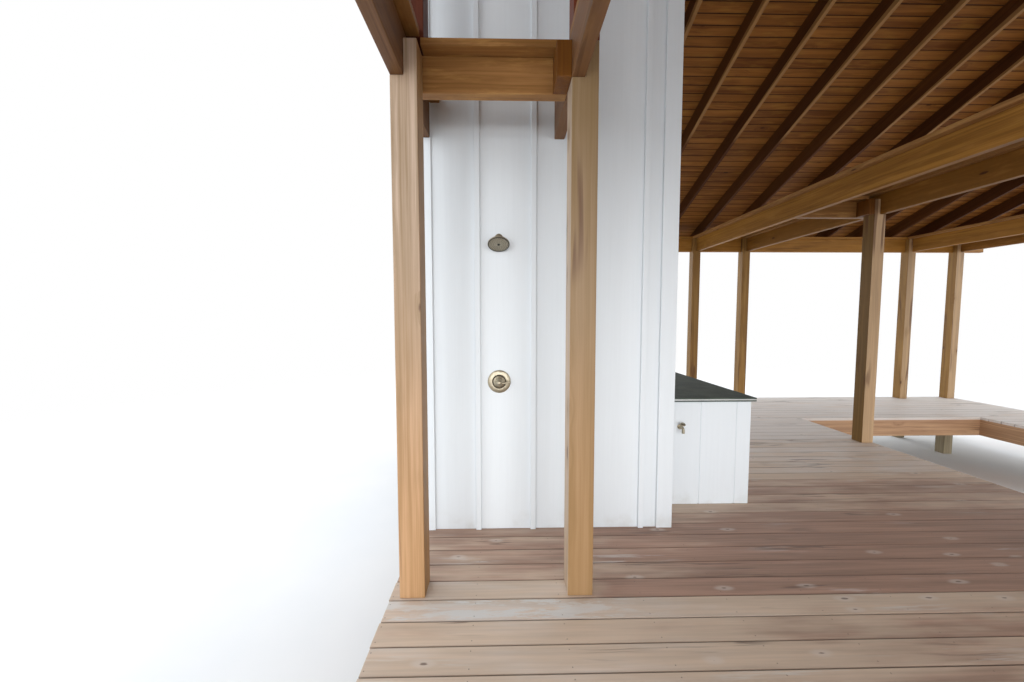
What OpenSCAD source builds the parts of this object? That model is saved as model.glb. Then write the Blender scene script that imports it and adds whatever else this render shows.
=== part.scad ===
// Timber boathouse over water: a plank deck round a boat slip, twin rows of
// notched posts, a gable roof and a white closet with an outdoor shower.
// X runs along the ridge, Y runs from the open lake side to the shore side,
// Z is up. The origin is the middle of the plan at the feet of the piles.

/* [Plan] */
// Distance between the middles of two neighbouring twin lines of posts
bay = 4070; // [3600:5:4600]
// Distance between the two lines of a twin
twin = 930; // [700:2:1100]
// Distance between two rows of posts
row_step = 2480; // [2200:10:2800]
// Deck edge outside the faces of the outer posts
deck_lip = 58; // [45:1:120]

/* [Levels] */
// Deck top above the feet of the piles
deck_z = 760; // [700:5:1200]
// Underside of the beams above the deck
beam_clear = 2780; // [2500:10:3100]
// Slope of the roof in degrees
roof_angle = 21.5; // [15:0.5:26]

/* [Timber] */
// Side of the square posts and piles
post = 140; // [130:1:160]
// Height of the beams
beam_h = 235; // [200:5:290]
// Thickness of a flat plank
plank_t = 38; // [30:1:45]
// Width of the cap plank on a beam
cap_w = 140; // [120:5:185]
// Depth of the rafters
rafter_h = 184; // [150:2:240]
// Spacing of the rafters
rafter_step = 610; // [450:5:700]
// First rafter behind the gable rafter
rafter_first = 506; // [300:1:700]
// Depth of the ridge beam
ridge_h = 286; // [240:2:320]
// Height of the tongues that the posts keep beside the beams
tongue_h = 180; // [140:5:200]
// Thickness of the girders
heavy_t = 76; // [60:2:90]
// Depth of the girders under the deck joists
girder_h = 184; // [150:2:240]
// Depth of the deck joists
joist_h = 184; // [150:2:200]
// Spacing of the deck joists
joist_step = 460; // [400:10:600]

/* [Deck and slip] */
// Height of the deck edge, its planks and the boards under them
fascia_h = 286; // [260:2:320]
// Clear width of the boat slip
slip_w = 2830; // [2400:10:2900]
// Width of the walkway along the shore side
back_walk = 1540; // [1300:10:1800]
// Set-back of the piles behind the shore end of the slip
slip_set = 550; // [150:10:700]

/* [Roof] */
// Reach of the rafters past the outer posts
eave_reach = 300; // [200:5:320]
// Reach of the roof past the outer posts at the gables
gable_reach = 603; // [400:1:640]
// Thickness of the roof boards
roof_board_t = 19; // [15:1:30]
// Width of one sheet of the roof covering
seam_step = 406; // [300:1:600]
// Height of the standing seams
seam_h = 25; // [18:1:40]
// Width of a standing seam
seam_w = 12; // [8:1:20]
// Reach of the roofing past the boards at the gables and eaves
sheet_reach = 20; // [10:1:30]
// Reach of the ridge cap down each slope
cap_reach = 150; // [100:5:220]
// Thickness of the boards that close the gables
barge_t = 19; // [15:1:30]
// Setback of the eave beams behind the gables
eave_back = 150; // [80:5:250]

/* [Closet] */
// Width of the closet
closet_w = 1810; // [1500:5:2000]
// Depth of the closet
closet_d = 2440; // [1800:10:2600]
// Gap between the ridge row of posts and the closet
shower_bay = 543; // [450:1:700]
// Closet side behind the outer faces of the posts, less than 0 where it stands out
closet_in = -18; // [-30:1:60]
// Thickness of the closet walls
wall_t = 100; // [80:1:130]
// Width of the battens
batten_w = 38; // [30:1:70]
// Thickness of the battens and corner boards
batten_t = 19; // [12:1:25]
// Spacing of the battens
batten_step = 396; // [300:1:420]
// First batten to the left of the shower
batten_side = 151; // [60:1:200]
// Width of the corner boards
corner_w = 115; // [80:1:130]
// Width of the closet door
door_w = 860; // [700:10:920]
// Height of the closet door
door_h = 2030; // [1900:10:2130]
// Thickness of the closet door
door_t = 44; // [35:1:50]
// Width of the boards round the door
casing_w = 90; // [60:1:110]

/* [Dock box] */
// Width of the dock box
box_w = 815; // [600:5:900]
// Length of the dock box
box_l = 1830; // [1400:10:1900]
// Height of the dock box without its lid
box_h = 860; // [600:5:900]
// Setback of the dock box behind the closet front
box_back = 325; // [200:5:450]
// Thickness of the dock box walls
box_t = 32; // [25:1:45]
// Thickness of the lid
lid_t = 30; // [20:1:45]
// Overhang of the lid
lid_lip = 25; // [15:1:50]
// Length of a hinge
leaf_l = 60; // [40:1:90]
// First and last hinge from the ends of the box
leaf_in = 150; // [80:5:300]
// Hose tap from the closet side of the box
bibb_x = 205; // [120:5:300]
// Hose tap above the deck
bibb_z = 655; // [450:5:700]

/* [Fittings] */
// Shower to the right of the middle between the outer lines of posts
shower_side = 8; // [-100:1:100]
// Diameter of the shower head
head_d = 150; // [120:1:220]
// Shower head above the deck
head_z = 2045; // [1900:5:2150]
// Diameter of the valve plate
valve_d = 165; // [130:1:180]
// Valve above the deck
valve_z = 1090; // [950:5:1200]
// Length of the valve lever
lever_l = 78; // [60:1:100]
// Diameter of the shower arm
arm_d = 16; // [12:1:22]
// Radius of the bend of the shower arm
arm_bend = 34; // [25:1:50]

/* [Hidden] */
$fn = 48;

timber = "#8a5a33";
deck_brown = "#8c6152";
dark_timber = "#6a4225";
white_wall = "#e9e9e6";
nickel = "#8f867a";

// Seats that touch are face to face; loose fits take this gap
gap = 2;
// Butt joint between boards
butt = 1;
// Running clearance of pieces that move
run = 6;
// Sloping faces that lie on each other keep this much apart
lay = 0.2;
// Play round the door
door_play = 3;
// The slip starts this far from the faces of the posts
slip_off = 18;

// The cross beams stand off the backs of the posts, and their caps reach past them
cross_gap = 18;
cross_y = post / 2 + cross_gap;
cap_over = 20;
block_w = 78;

// The short posts under the ridge stand a little aside from the posts below
king_shift = 20;
king_y0 = 6;
king_y1 = king_y0 + post;

// Plan lines
line_x = [-bay - twin / 2, -bay + twin / 2, -twin / 2, twin / 2, bay - twin / 2, bay + twin / 2];
row_y = [for (i = [-2:2]) i * row_step];
half_x = bay + twin / 2 + post / 2 + deck_lip;
half_y = 2 * row_step + post / 2 + deck_lip;

// The notch takes half of the post, and the beam is as thick as the notch
beam_t = post / 2;
notch_z = deck_z + beam_clear;
beam_top = notch_z + beam_h;
cap_top = beam_top + plank_t;
tongue_top = notch_z + tongue_h;
cross_top = beam_top - plank_t;

// Deck and slip
joist_top = deck_z - plank_t;
girder_top = joist_top - joist_h;
pile_top = girder_top - girder_h;
slip_x0 = twin / 2 + post / 2 + slip_off;
slip_x1 = slip_x0 + slip_w;
slip_y1 = half_y - back_walk;
slip_pile_y = slip_y1 + slip_set;

// Roof planes: the underside of the rafters passes the inner edge of the eave cap
rise = tan(roof_angle);
plate_y = 2 * row_step + post / 4;
seat_y = plate_y - cap_w / 2;
eave_in = 2 * row_step;
cap_end = seat_y - gap;
eave_y = 2 * row_step + post / 2 + eave_reach;
half_roof = bay + twin / 2 + post / 2 + gable_reach;
sheet_x = half_roof + sheet_reach;
function under(y) = cap_top + (seat_y - abs(y)) * rise;
rafter_v = rafter_h / cos(roof_angle);
board_v = roof_board_t / cos(roof_angle);
sheet_t = 3;
sheet_v = sheet_t / cos(roof_angle);
function board_z(y) = under(y) + rafter_v;

// The ridge beam stops under the roof boards, clear of their bevelled tops
ridge_drop = (beam_t / 2) * rise + gap;
ridge_top = board_z(0) - ridge_drop;
ridge_z = ridge_top - ridge_h;
king_head = under(king_y1) - gap;

// Closet
closet_x0 = line_x[0] - post / 2 + closet_in;
closet_x1 = closet_x0 + closet_w;
closet_y0 = post / 2 + shower_bay;
closet_y1 = closet_y0 + closet_d;
shower_x = (line_x[0] + line_x[1]) / 2 + shower_side;
first_batten = shower_x - batten_side;
door_x = (closet_x0 + closet_x1) / 2;

// Dock box
box_x0 = closet_x1 + batten_t + gap;
box_x1 = closet_x0 + closet_w + box_w;
box_y0 = closet_y0 + box_back;
box_y1 = box_y0 + box_l;
box_z1 = deck_z + box_h;

module slab(x0, x1, y0, y1, z0, z1) {
    translate([x0, y0, z0]) cube([x1 - x0, y1 - y0, z1 - z0]);
}

// Profile in the YZ plane, drawn from x0 to x1
module yz_bar(x0, x1, points) {
    translate([x0, 0, 0])
        rotate([90, 0, 90])
            linear_extrude(x1 - x0)
                polygon(points);
}

module piles() {
    color(dark_timber) {
        for (x = line_x, y = row_y)
            pile(x, y);
        for (x = [-bay / 2, bay / 2])
            pile(x, row_y[4]);
        for (x = [slip_x0 - plank_t - post / 2, (slip_x0 + slip_x1) / 2, slip_x1 + plank_t + post / 2])
            pile(x, slip_pile_y);
    }
}

module pile(x, y) {
    slab(x - post / 2, x + post / 2, y - post / 2, y + post / 2, 0, pile_top);
}

module deck_girders() {
    color(dark_timber) {
        for (y = row_y)
            girder(-half_x + plank_t, slip_x0 - plank_t, y);
        for (y = [for (i = [0:3]) row_y[i]])
            girder(slip_x1 + plank_t, half_x - plank_t, y);
        girder(slip_x0 - plank_t, half_x - plank_t, row_y[4]);
        girder(slip_x0 - plank_t - post, slip_x1 + plank_t + post, slip_pile_y);
    }
}

module girder(x0, x1, y) {
    slab(x0, x1, y - heavy_t / 2, y + heavy_t / 2, pile_top, girder_top);
}

module joist_run(x0, x1, y0, y1) {
    n = max(1, round((x1 - x0 - plank_t) / joist_step));
    for (i = [0:n]) {
        x = x0 + (x1 - x0 - plank_t) * i / n;
        slab(x, x + plank_t, y0, y1, girder_top, joist_top);
    }
}

module deck_joists() {
    color(dark_timber) {
        joist_run(-half_x + plank_t, slip_x0 - plank_t, -half_y + plank_t, half_y - plank_t);
        joist_run(slip_x1 + plank_t, half_x - plank_t, -half_y + plank_t, half_y - plank_t);
        joist_run(slip_x0 - plank_t + joist_step, slip_x1 + plank_t - joist_step,
            slip_y1 + plank_t, half_y - plank_t);
    }
}

// Boards on edge along X and along Y under the ends of the planks, each clear
// of its neighbour at the corners
module edge_x(x0, x1, y) {
    slab(x0, x1, y, y + plank_t, deck_z - fascia_h, joist_top);
}

module edge_y(x, y0, y1) {
    slab(x, x + plank_t, y0 + butt, y1 - butt, deck_z - fascia_h, joist_top);
}

module deck_fascia() {
    color(deck_brown) {
        edge_x(-half_x, half_x, half_y - plank_t);
        edge_x(-half_x, slip_x0, -half_y);
        edge_x(slip_x1, half_x, -half_y);
        edge_x(slip_x0 + butt, slip_x1 - butt, slip_y1);
        edge_y(-half_x, -half_y + plank_t, half_y - plank_t);
        edge_y(half_x - plank_t, -half_y + plank_t, half_y - plank_t);
        edge_y(slip_x0 - plank_t, -half_y + plank_t, slip_y1 + plank_t);
        edge_y(slip_x1, -half_y + plank_t, slip_y1 + plank_t);
    }
}

module main_deck() {
    color(deck_brown)
        slab(-half_x, slip_x0 - butt, -half_y, half_y, joist_top, deck_z);
}

module back_walkway() {
    color(deck_brown)
        slab(slip_x0, half_x, slip_y1, half_y, joist_top, deck_z);
}

module side_walkway() {
    color(deck_brown)
        slab(slip_x1, half_x, -half_y, slip_y1 - butt, joist_top, deck_z);
}

// A post with its head cut back to a tongue. side is 1 where the tongue is the
// half toward +X and -1 where it is the half toward -X. end is the outward
// direction of an eave beam that takes the outer half as well, or 0.
module notched_post(x, y, side, end = 0) {
    difference() {
        slab(x - post / 2, x + post / 2, y - post / 2, y + post / 2, deck_z, end == 0 ? tongue_top : beam_top);
        translate([side > 0 ? x - post / 2 - 1 : x, y - post / 2 - 1, notch_z])
            cube([post / 2 + 1, post + 2, cap_top]);
        if (end != 0)
            translate([x - post, end > 0 ? y : y - post / 2 - 1, notch_z])
                cube([2 * post, post / 2 + 1, cap_top]);
    }
}

function end_of(i) = i == 0 ? -1 : i == 4 ? 1 : 0;

module left_posts() {
    color(timber)
        for (x = [line_x[0], line_x[1]], i = [0, 1, 2, 4])
            notched_post(x, row_y[i], 1, end_of(i));
}

module center_posts() {
    color(timber) {
        for (i = [0, 2, 4])
            notched_post(line_x[2], row_y[i], -1, end_of(i));
        for (i = [0:4])
            notched_post(line_x[3], row_y[i], -1, end_of(i));
    }
}

module right_posts() {
    color(timber)
        for (x = [line_x[4], line_x[5]], i = [0:4])
            notched_post(x, row_y[i], -1, end_of(i));
}

// One beam on a line of posts. side as in notched_post.
module line_beam(x, side, y0, y1) {
    bx = beam_x(x, side);
    slab(bx, bx + beam_t, y0, y1, notch_z, beam_top);
}

function beam_x(x, side) = side > 0 ? x - beam_t : x;

// Cap planks over a line of posts, one for each stretch
module line_caps(x, runs) {
    for (r = runs)
        slab(x - cap_w / 2, x + cap_w / 2, r[0], r[1], beam_top, cap_top);
}

module left_beams() {
    color(timber)
        for (x = [line_x[0], line_x[1]]) {
            line_beam(x, 1, -eave_in, closet_y0);
            line_beam(x, 1, closet_y1, eave_in);
        }
}

module center_beams() {
    color(timber)
        for (x = [line_x[2], line_x[3]])
            line_beam(x, -1, -eave_in, eave_in);
}

module right_beams() {
    color(timber)
        for (x = [line_x[4], line_x[5]])
            line_beam(x, -1, -eave_in, eave_in);
}

// The cap planks run over the tongues and stop at the short posts under the ridge
lake_run = [-cap_end, king_y0 - gap];
shore_run = [king_y1 + gap, cap_end];

module beam_caps() {
    color(timber) {
        for (x = [line_x[0], line_x[1]])
            line_caps(x, [lake_run, [king_y1 + gap, closet_y0 - gap], [closet_y1 + gap, cap_end]]);
        for (i = [2:5])
            line_caps(line_x[i], [lake_run, shore_run]);
    }
}

// Twins that carry a cross beam: left line, right line, side of the tongue, row
crossed = [[0, 1, 1, 2], [2, 3, -1, 2], [4, 5, -1, 2], [2, 3, -1, 3], [2, 3, -1, 1]];

// A beam across a twin, just behind the posts, between the two line beams
module cross_beams() {
    color(timber)
        for (c = crossed) {
            x0 = beam_x(line_x[c[0]], c[2]) + beam_t;
            x1 = beam_x(line_x[c[1]], c[2]);
            slab(x0, x1, row_y[c[3]] + cross_y, row_y[c[3]] + cross_y + beam_t, notch_z, cross_top);
        }
}

// The wide plank on a cross beam, level with the tops of the line beams
module cross_caps() {
    color(timber)
        for (c = crossed) {
            left = line_x[c[0]] + post / 2 + gap;
            right = line_x[c[1]] - post / 2 - gap;
            y = row_y[c[3]];
            slab(left, right, y + king_y0, y + cross_y + beam_t + cap_over, cross_top, beam_top);
        }
}

// The block that fills the corner between post, line beam and cross beam
module beam_blocks() {
    color(timber)
        for (c = crossed) {
            x = line_x[c[1]] - post / 2;
            y = row_y[c[3]];
            slab(x - block_w, x, y - post / 2, y + cross_y, notch_z, tongue_top);
        }
}

module eave_beam() {
    slab(-half_roof + eave_back, half_roof - eave_back, eave_in, eave_in + beam_t, notch_z, beam_top);
}

module eave_caps() {
    color(timber)
        for (m = [0, 1])
            mirror([0, m, 0])
                slab(-half_roof + eave_back, half_roof - eave_back, seat_y, seat_y + cap_w, beam_top, cap_top);
}

module back_eave_beam() {
    color(timber) eave_beam();
}

module front_eave_beam() {
    color(timber) mirror([0, 1, 0]) eave_beam();
}

// Short post on a line beam. Its head is notched for the ridge beam, and the
// rest rises behind the beam as far as the rafters leave room.
module king_posts() {
    color(dark_timber)
        for (x = line_x)
            yz_bar(x + king_shift - post / 2, x + king_shift + post / 2, [
                [king_y0, beam_top], [king_y1, beam_top], [king_y1, king_head],
                [beam_t / 2 + butt, king_head], [beam_t / 2 + butt, ridge_z], [king_y0, ridge_z]]);
}

module ridge_beam() {
    color(dark_timber)
        slab(-half_roof, half_roof, -beam_t / 2, beam_t / 2, ridge_z, ridge_top);
}

// Rafter: birdsmouth over the eave cap, plumb cut at the ridge and at the tail
module rafter(x) {
    tail = eave_y;
    top = beam_t / 2;
    yz_bar(x - plank_t / 2, x + plank_t / 2, [
        [top, under(top)], [seat_y, cap_top], [seat_y + cap_w, cap_top],
        [seat_y + cap_w, under(seat_y + cap_w)], [tail, under(tail)],
        [tail, board_z(tail)], [top, board_z(top)]]);
}

// One rafter closes each gable, and those between are set out from the left
gable_x = half_roof - plank_t / 2;
rafter_n = floor((2 * gable_x - rafter_first - 2 * plank_t) / rafter_step);
rafter_x = concat([-gable_x], [for (i = [0:rafter_n]) -gable_x + rafter_first + i * rafter_step], [gable_x]);

module rafters() {
    for (x = rafter_x)
        rafter(x);
}

module back_rafters() {
    color(dark_timber) rafters();
}

module front_rafters() {
    color(dark_timber) mirror([0, 1, 0]) rafters();
}

// A sheet that lies lift above the rafters, from y0 down the slope to y1
module roof_layer(x0, x1, y0, y1, lift, thick) {
    yz_bar(x0, x1, [[y0, board_z(y0) + lift + lay], [y1, board_z(y1) + lift + lay],
        [y1, board_z(y1) + lift + thick], [y0, board_z(y0) + lift + thick]]);
}

module roof_boards() {
    roof_layer(-half_roof, half_roof, gap, eave_y, 0, board_v);
}

module back_roof_boards() {
    color(dark_timber) roof_boards();
}

module front_roof_boards() {
    color(dark_timber) mirror([0, 1, 0]) roof_boards();
}

module roofing() {
    n = round(2 * sheet_x / seam_step);
    y1 = eave_y + plank_t + sheet_reach;
    roof_layer(-sheet_x, sheet_x, gap, y1, board_v, sheet_v);
    for (i = [0:n]) {
        x = -sheet_x + (2 * sheet_x - seam_w) * i / n;
        roof_layer(x, x + seam_w, cap_reach / 2, y1, board_v, sheet_v + seam_h);
    }
}

module back_roofing() {
    color("#4b3a30") roofing();
}

module front_roofing() {
    color("#4b3a30") mirror([0, 1, 0]) roofing();
}

module ridge_cap() {
    lift = board_v + sheet_v + seam_h + lay;
    edge = board_z(cap_reach) + lift;
    color("#4b3a30")
        yz_bar(-sheet_x, sheet_x, [
            [0, board_z(0) + lift], [cap_reach, edge], [cap_reach, edge + sheet_v],
            [0, board_z(0) + lift + sheet_v], [-cap_reach, edge + sheet_v], [-cap_reach, edge]]);
}

module eave_boards() {
    color(dark_timber)
        for (m = [0, 1])
            mirror([0, m, 0])
                yz_bar(-half_roof, half_roof, [
                    [eave_y, under(eave_y) - run], [eave_y + plank_t, under(eave_y) - run],
                    [eave_y + plank_t, board_z(eave_y + plank_t) + board_v], [eave_y, board_z(eave_y) + board_v]]);
}

module barge_boards() {
    color(dark_timber)
        for (x = [-half_roof - barge_t, half_roof])
            for (m = [0, 1])
                mirror([0, m, 0])
                    yz_bar(x, x + barge_t, [
                        [butt, under(butt)], [eave_y + plank_t, under(eave_y + plank_t)],
                        [eave_y + plank_t, board_z(eave_y + plank_t) + board_v], [butt, board_z(butt) + board_v]]);
}

// Closet walls go up to the roof boards and are notched round the rafters
module notched_wall() {
    difference() {
        children();
        for (x = rafter_x)
            yz_bar(x - plank_t / 2 - butt, x + plank_t / 2 + butt, [
                [0, under(0) - lay], [eave_y, under(eave_y) - lay], [eave_y, board_z(0)], [0, board_z(0) + post]]);
    }
}

module side_wall(x0) {
    y0 = closet_y0 + wall_t;
    y1 = closet_y1 - wall_t;
    notched_wall()
        yz_bar(x0, x0 + wall_t, [[y0, deck_z], [y1, deck_z], [y1, board_z(y1)], [y0, board_z(y0)]]);
}

module cross_wall(y0) {
    y1 = y0 + wall_t;
    notched_wall()
        yz_bar(closet_x0, closet_x1, [[y0, deck_z], [y1, deck_z], [y1, board_z(y1)], [y0, board_z(y0)]]);
}

module closet_front_wall() {
    color(white_wall) cross_wall(closet_y0);
}

module closet_back_wall() {
    color(white_wall)
        difference() {
            cross_wall(closet_y1 - wall_t);
            slab(door_x - door_half, door_x + door_half, closet_y1 - wall_t - 1, closet_y1 + 1,
                deck_z - 1, door_head);
        }
}

module closet_left_wall() {
    color(white_wall) side_wall(closet_x0);
}

module closet_right_wall() {
    color(white_wall) side_wall(closet_x1 - wall_t);
}

door_half = door_w / 2 + door_play;
door_head = deck_z + door_h + door_play;

// Boards on the closet: upright strips whose tops follow the rafters, cut out
// where the line beams and their caps meet the closet
module strip(x0, x1, y0, y1, z0 = deck_z) {
    yz_bar(x0, x1, [[y0, z0], [y1, z0], [y1, under(y1) - lay], [y0, under(y0) - lay]]);
}

module clear_of_beams() {
    y0 = closet_y0 - batten_t - 1;
    y1 = closet_y1 + batten_t + 1;
    difference() {
        children();
        for (x = [line_x[0], line_x[1]], r = [[y0, closet_y0 + butt], [closet_y1 - butt, y1]]) {
            bx = beam_x(x, 1);
            slab(bx - butt, bx + beam_t + butt, r[0], r[1], notch_z - butt, cap_top);
            slab(x - cap_w / 2 - butt, x + cap_w / 2 + butt, r[0], r[1], beam_top - butt, cap_top + butt);
        }
    }
}

// Middles of the battens: from the shower on the front, from the middle of the
// wall on the sides, and beside and above the door on the back
front_last = closet_x1 + batten_t - corner_w - batten_w / 2 - gap;
front_battens = [for (x = [first_batten:batten_step:front_last]) x];
side_mid = (closet_y0 + closet_y1) / 2;
side_half = closet_d / 2 - corner_w - batten_w / 2 - gap;
side_n = floor(side_half / batten_step);
side_battens = [for (i = [-side_n:side_n]) side_mid + i * batten_step];
casing_half = door_half + casing_w;
back_batten = (casing_half + closet_w / 2 + batten_t - corner_w) / 2;

module closet_battens() {
    h = batten_w / 2;
    color(white_wall)
        clear_of_beams() {
            for (x = front_battens)
                strip(x - h, x + h, closet_y0 - batten_t, closet_y0);
            for (y = side_battens, x = [closet_x0 - batten_t, closet_x1])
                strip(x, x + batten_t, y - h, y + h);
            for (x = [door_x - back_batten, door_x + back_batten])
                strip(x - h, x + h, closet_y1, closet_y1 + batten_t);
            for (x = [door_x - batten_step / 2, door_x + batten_step / 2])
                strip(x - h, x + h, closet_y1, closet_y1 + batten_t, door_head + casing_w + gap);
        }
}

module corner_boards() {
    color(white_wall)
        clear_of_beams() {
            for (x = [closet_x0 - batten_t, closet_x1 - corner_w + batten_t]) {
                strip(x, x + corner_w, closet_y0 - batten_t, closet_y0);
                strip(x, x + corner_w, closet_y1, closet_y1 + batten_t);
            }
            for (x = [closet_x0 - batten_t, closet_x1]) {
                strip(x, x + batten_t, closet_y0 + butt, closet_y0 + corner_w);
                strip(x, x + batten_t, closet_y1 - corner_w, closet_y1 - butt);
            }
        }
}

// Boards round the door: two uprights and a head board that rests on them
module door_casing() {
    color(white_wall) {
        for (x = [door_x - casing_half, door_x + door_half])
            slab(x, x + casing_w, closet_y1, closet_y1 + batten_t, deck_z, door_head);
        slab(door_x - casing_half, door_x + casing_half, closet_y1, closet_y1 + batten_t,
            door_head, door_head + casing_w);
    }
}

// The door has two sunk panels on its outer face
module closet_door() {
    rail = 115;
    sunk = 9;
    panel_h = (door_h - 3 * rail) / 2;
    color(white_wall)
        difference() {
            slab(door_x - door_w / 2, door_x + door_w / 2, closet_y1 - door_t, closet_y1, deck_z, deck_z + door_h);
            for (i = [0, 1])
                translate([door_x - door_w / 2 + rail, closet_y1 - sunk, deck_z + rail + i * (panel_h + rail)])
                    cube([door_w - 2 * rail, sunk + 1, panel_h]);
        }
}

// Shower head: wall flange, bent arm, ball joint and a bell that looks down
head_tilt = 30;
head_drop = 62;

module shower_head() {
    stub = 30;
    color(nickel)
        translate([shower_x, closet_y0, deck_z + head_z + head_drop])
            rotate([90, 0, 0]) {
                rotate_extrude()
                    polygon([[0, 0], [29, 0], [28, 4], [20, 9], [arm_d / 2, 12], [0, 12]]);
                cylinder(d = arm_d, h = stub);
                translate([0, -arm_bend, stub])
                    rotate([0, 90, 0])
                        rotate([0, 0, 90])
                            rotate_extrude(angle = 90 - head_tilt)
                                translate([arm_bend, 0]) circle(d = arm_d);
                translate([0, -arm_bend, stub])
                    rotate([90 - head_tilt, 0, 0])
                        translate([0, arm_bend, 0])
                            shower_bell();
            }
}

// Ball joint and bell, turned about the axis of the arm's end
module shower_bell() {
    r = head_d / 2;
    sphere(d = arm_d + 10);
    rotate_extrude()
        polygon([[0, 0], [arm_d / 2, 0], [arm_d / 2, 14], [14, 17], [18, 24], [r * 0.62, 32],
            [r - 3, 42], [r, 46], [r, 52], [r - 5, 54], [r * 0.6, 52], [0, 54]]);
}

spindle_r = 9;
hub_z = 44;
hub_h = 32;
lever_rise = 6;

// Valve: a stepped plate with a sunk ring, a bonnet and the spindle of the lever
module shower_valve() {
    r = valve_d / 2;
    color(nickel)
        translate([shower_x, closet_y0, deck_z + valve_z])
            rotate([90, 0, 0])
                rotate_extrude()
                    polygon([[0, 0], [r, 0], [r, 3], [r - 4, 6], [r - 12, 8], [r * 0.62, 13],
                        [r * 0.57, 9], [r * 0.52, 9], [r * 0.46, 14], [27, 18], [26, hub_z - run],
                        [spindle_r, hub_z - run], [spindle_r, hub_z + hub_h / 2], [0, hub_z + hub_h / 2]]);
}

// The lever turns on the spindle; its hub stands clear of the valve body
module shower_lever() {
    mid = hub_z + hub_h / 2;
    color(nickel)
        translate([shower_x, closet_y0, deck_z + valve_z])
            rotate([90, 0, 0])
                difference() {
                    union() {
                        translate([0, 0, hub_z])
                            rotate_extrude()
                                polygon([[0, 0], [22, 0], [24, 4], [23, 16], [17, 26], [8, hub_h], [0, hub_h]]);
                        rotate([0, 0, lever_rise])
                            translate([0, -6, mid - 4])
                                rotate([0, 90, 0]) cylinder(d1 = 20, d2 = 12, h = lever_l - 6);
                        rotate([0, 0, lever_rise])
                            translate([lever_l - 6, -6, mid - 4]) sphere(d = 13);
                    }
                    translate([0, 0, hub_z - 1]) cylinder(r = spindle_r + 0.3, h = hub_h / 2 + 2);
                }
}

module dock_box() {
    color(white_wall)
        difference() {
            slab(box_x0, box_x1, box_y0, box_y1, deck_z, box_z1);
            slab(box_x0 + box_t, box_x1 - box_t, box_y0 + box_t, box_y1 - box_t, deck_z + box_t, box_z1 + 1);
        }
}

hinge_x = box_x0 + 30;
hinge_z = box_z1 + run + 8;
knuckle_r = 8;
hinge_pin_r = 4;
lug_l = 12;
leaf_n = 4;
function leaf_y(i) = box_y0 + leaf_in + (box_l - 2 * leaf_in - leaf_l) * i / (leaf_n - 1);

module along_y(x, y0, y1, z, r) {
    translate([x, y1, z]) rotate([90, 0, 0]) cylinder(r = r, h = y1 - y0);
}

// Fixed hinge leaves: each pair of lugs on the rim of the box holds one pin
module lid_pin() {
    color(nickel)
        for (i = [0:leaf_n - 1]) {
            y = leaf_y(i);
            along_y(hinge_x, y, y + leaf_l, hinge_z, hinge_pin_r);
            for (e = [y, y + leaf_l - lug_l]) {
                along_y(hinge_x, e, e + lug_l, hinge_z, knuckle_r);
                slab(box_x0, hinge_x, e, e + lug_l, box_z1, box_z1 + 5);
                slab(hinge_x - 5, hinge_x + 5, e, e + lug_l, box_z1, hinge_z);
            }
        }
}

module box_lid() {
    x0 = hinge_x + knuckle_r + run;
    z0 = box_z1 + run;
    color("#4e5450")
        difference() {
            union() {
                slab(x0, box_x1 + lid_lip, box_y0 - lid_lip, box_y1 + lid_lip, z0, z0 + lid_t);
                for (i = [0:leaf_n - 1]) {
                    y = leaf_y(i) + lug_l + gap;
                    y1 = leaf_y(i) + leaf_l - lug_l - gap;
                    along_y(hinge_x, y, y1, hinge_z, knuckle_r);
                    slab(hinge_x, x0 + 1, y, y1, hinge_z, hinge_z + knuckle_r);
                }
            }
            for (i = [0:leaf_n - 1])
                along_y(hinge_x, leaf_y(i), leaf_y(i) + leaf_l, hinge_z, hinge_pin_r + 0.3);
        }
}

// Hose tap: flange, barrel, spout that bends down and a wheel on its stem
module hose_bibb() {
    barrel = 46;
    bend = 14;
    color("#4a4a4a")
        translate([box_x0 + bibb_x, box_y0, deck_z + bibb_z])
            rotate([90, 0, 0]) {
                cylinder(d = 44, h = 5);
                cylinder(d = 22, h = barrel);
                translate([0, -bend, barrel])
                    rotate([0, 90, 0])
                        rotate([0, 0, 90])
                            rotate_extrude(angle = 90)
                                translate([bend, 0]) circle(d = 20);
                translate([0, -bend - 24, barrel + bend])
                    rotate([-90, 0, 0]) cylinder(d = 24, h = 25);
                translate([0, 0, barrel - 14])
                    rotate([-60, 0, 0]) {
                        cylinder(d = 10, h = 40);
                        translate([0, 0, 34])
                            rotate_extrude() polygon([[0, 0], [19, 2], [21, 5], [19, 8], [0, 7]]);
                    }
            }
}

piles();
deck_girders();
deck_joists();
deck_fascia();
main_deck();
back_walkway();
side_walkway();
left_posts();
center_posts();
right_posts();
left_beams();
center_beams();
right_beams();
cross_beams();
cross_caps();
eave_caps();
beam_caps();
beam_blocks();
back_eave_beam();
front_eave_beam();
king_posts();
ridge_beam();
back_rafters();
front_rafters();
back_roof_boards();
front_roof_boards();
back_roofing();
front_roofing();
ridge_cap();
eave_boards();
barge_boards();
closet_front_wall();
closet_back_wall();
closet_left_wall();
closet_right_wall();
closet_battens();
corner_boards();
door_casing();
closet_door();
shower_head();
shower_valve();
shower_lever();
dock_box();
lid_pin();
box_lid();
hose_bibb();
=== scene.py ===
"""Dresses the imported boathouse: timber, deck planks, roof lining, closet, shower and dock box."""

import math
import random

import bmesh
import bpy
from bpy.props import FloatProperty, FloatVectorProperty, PointerProperty
from mathutils import Matrix, Vector


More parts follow.
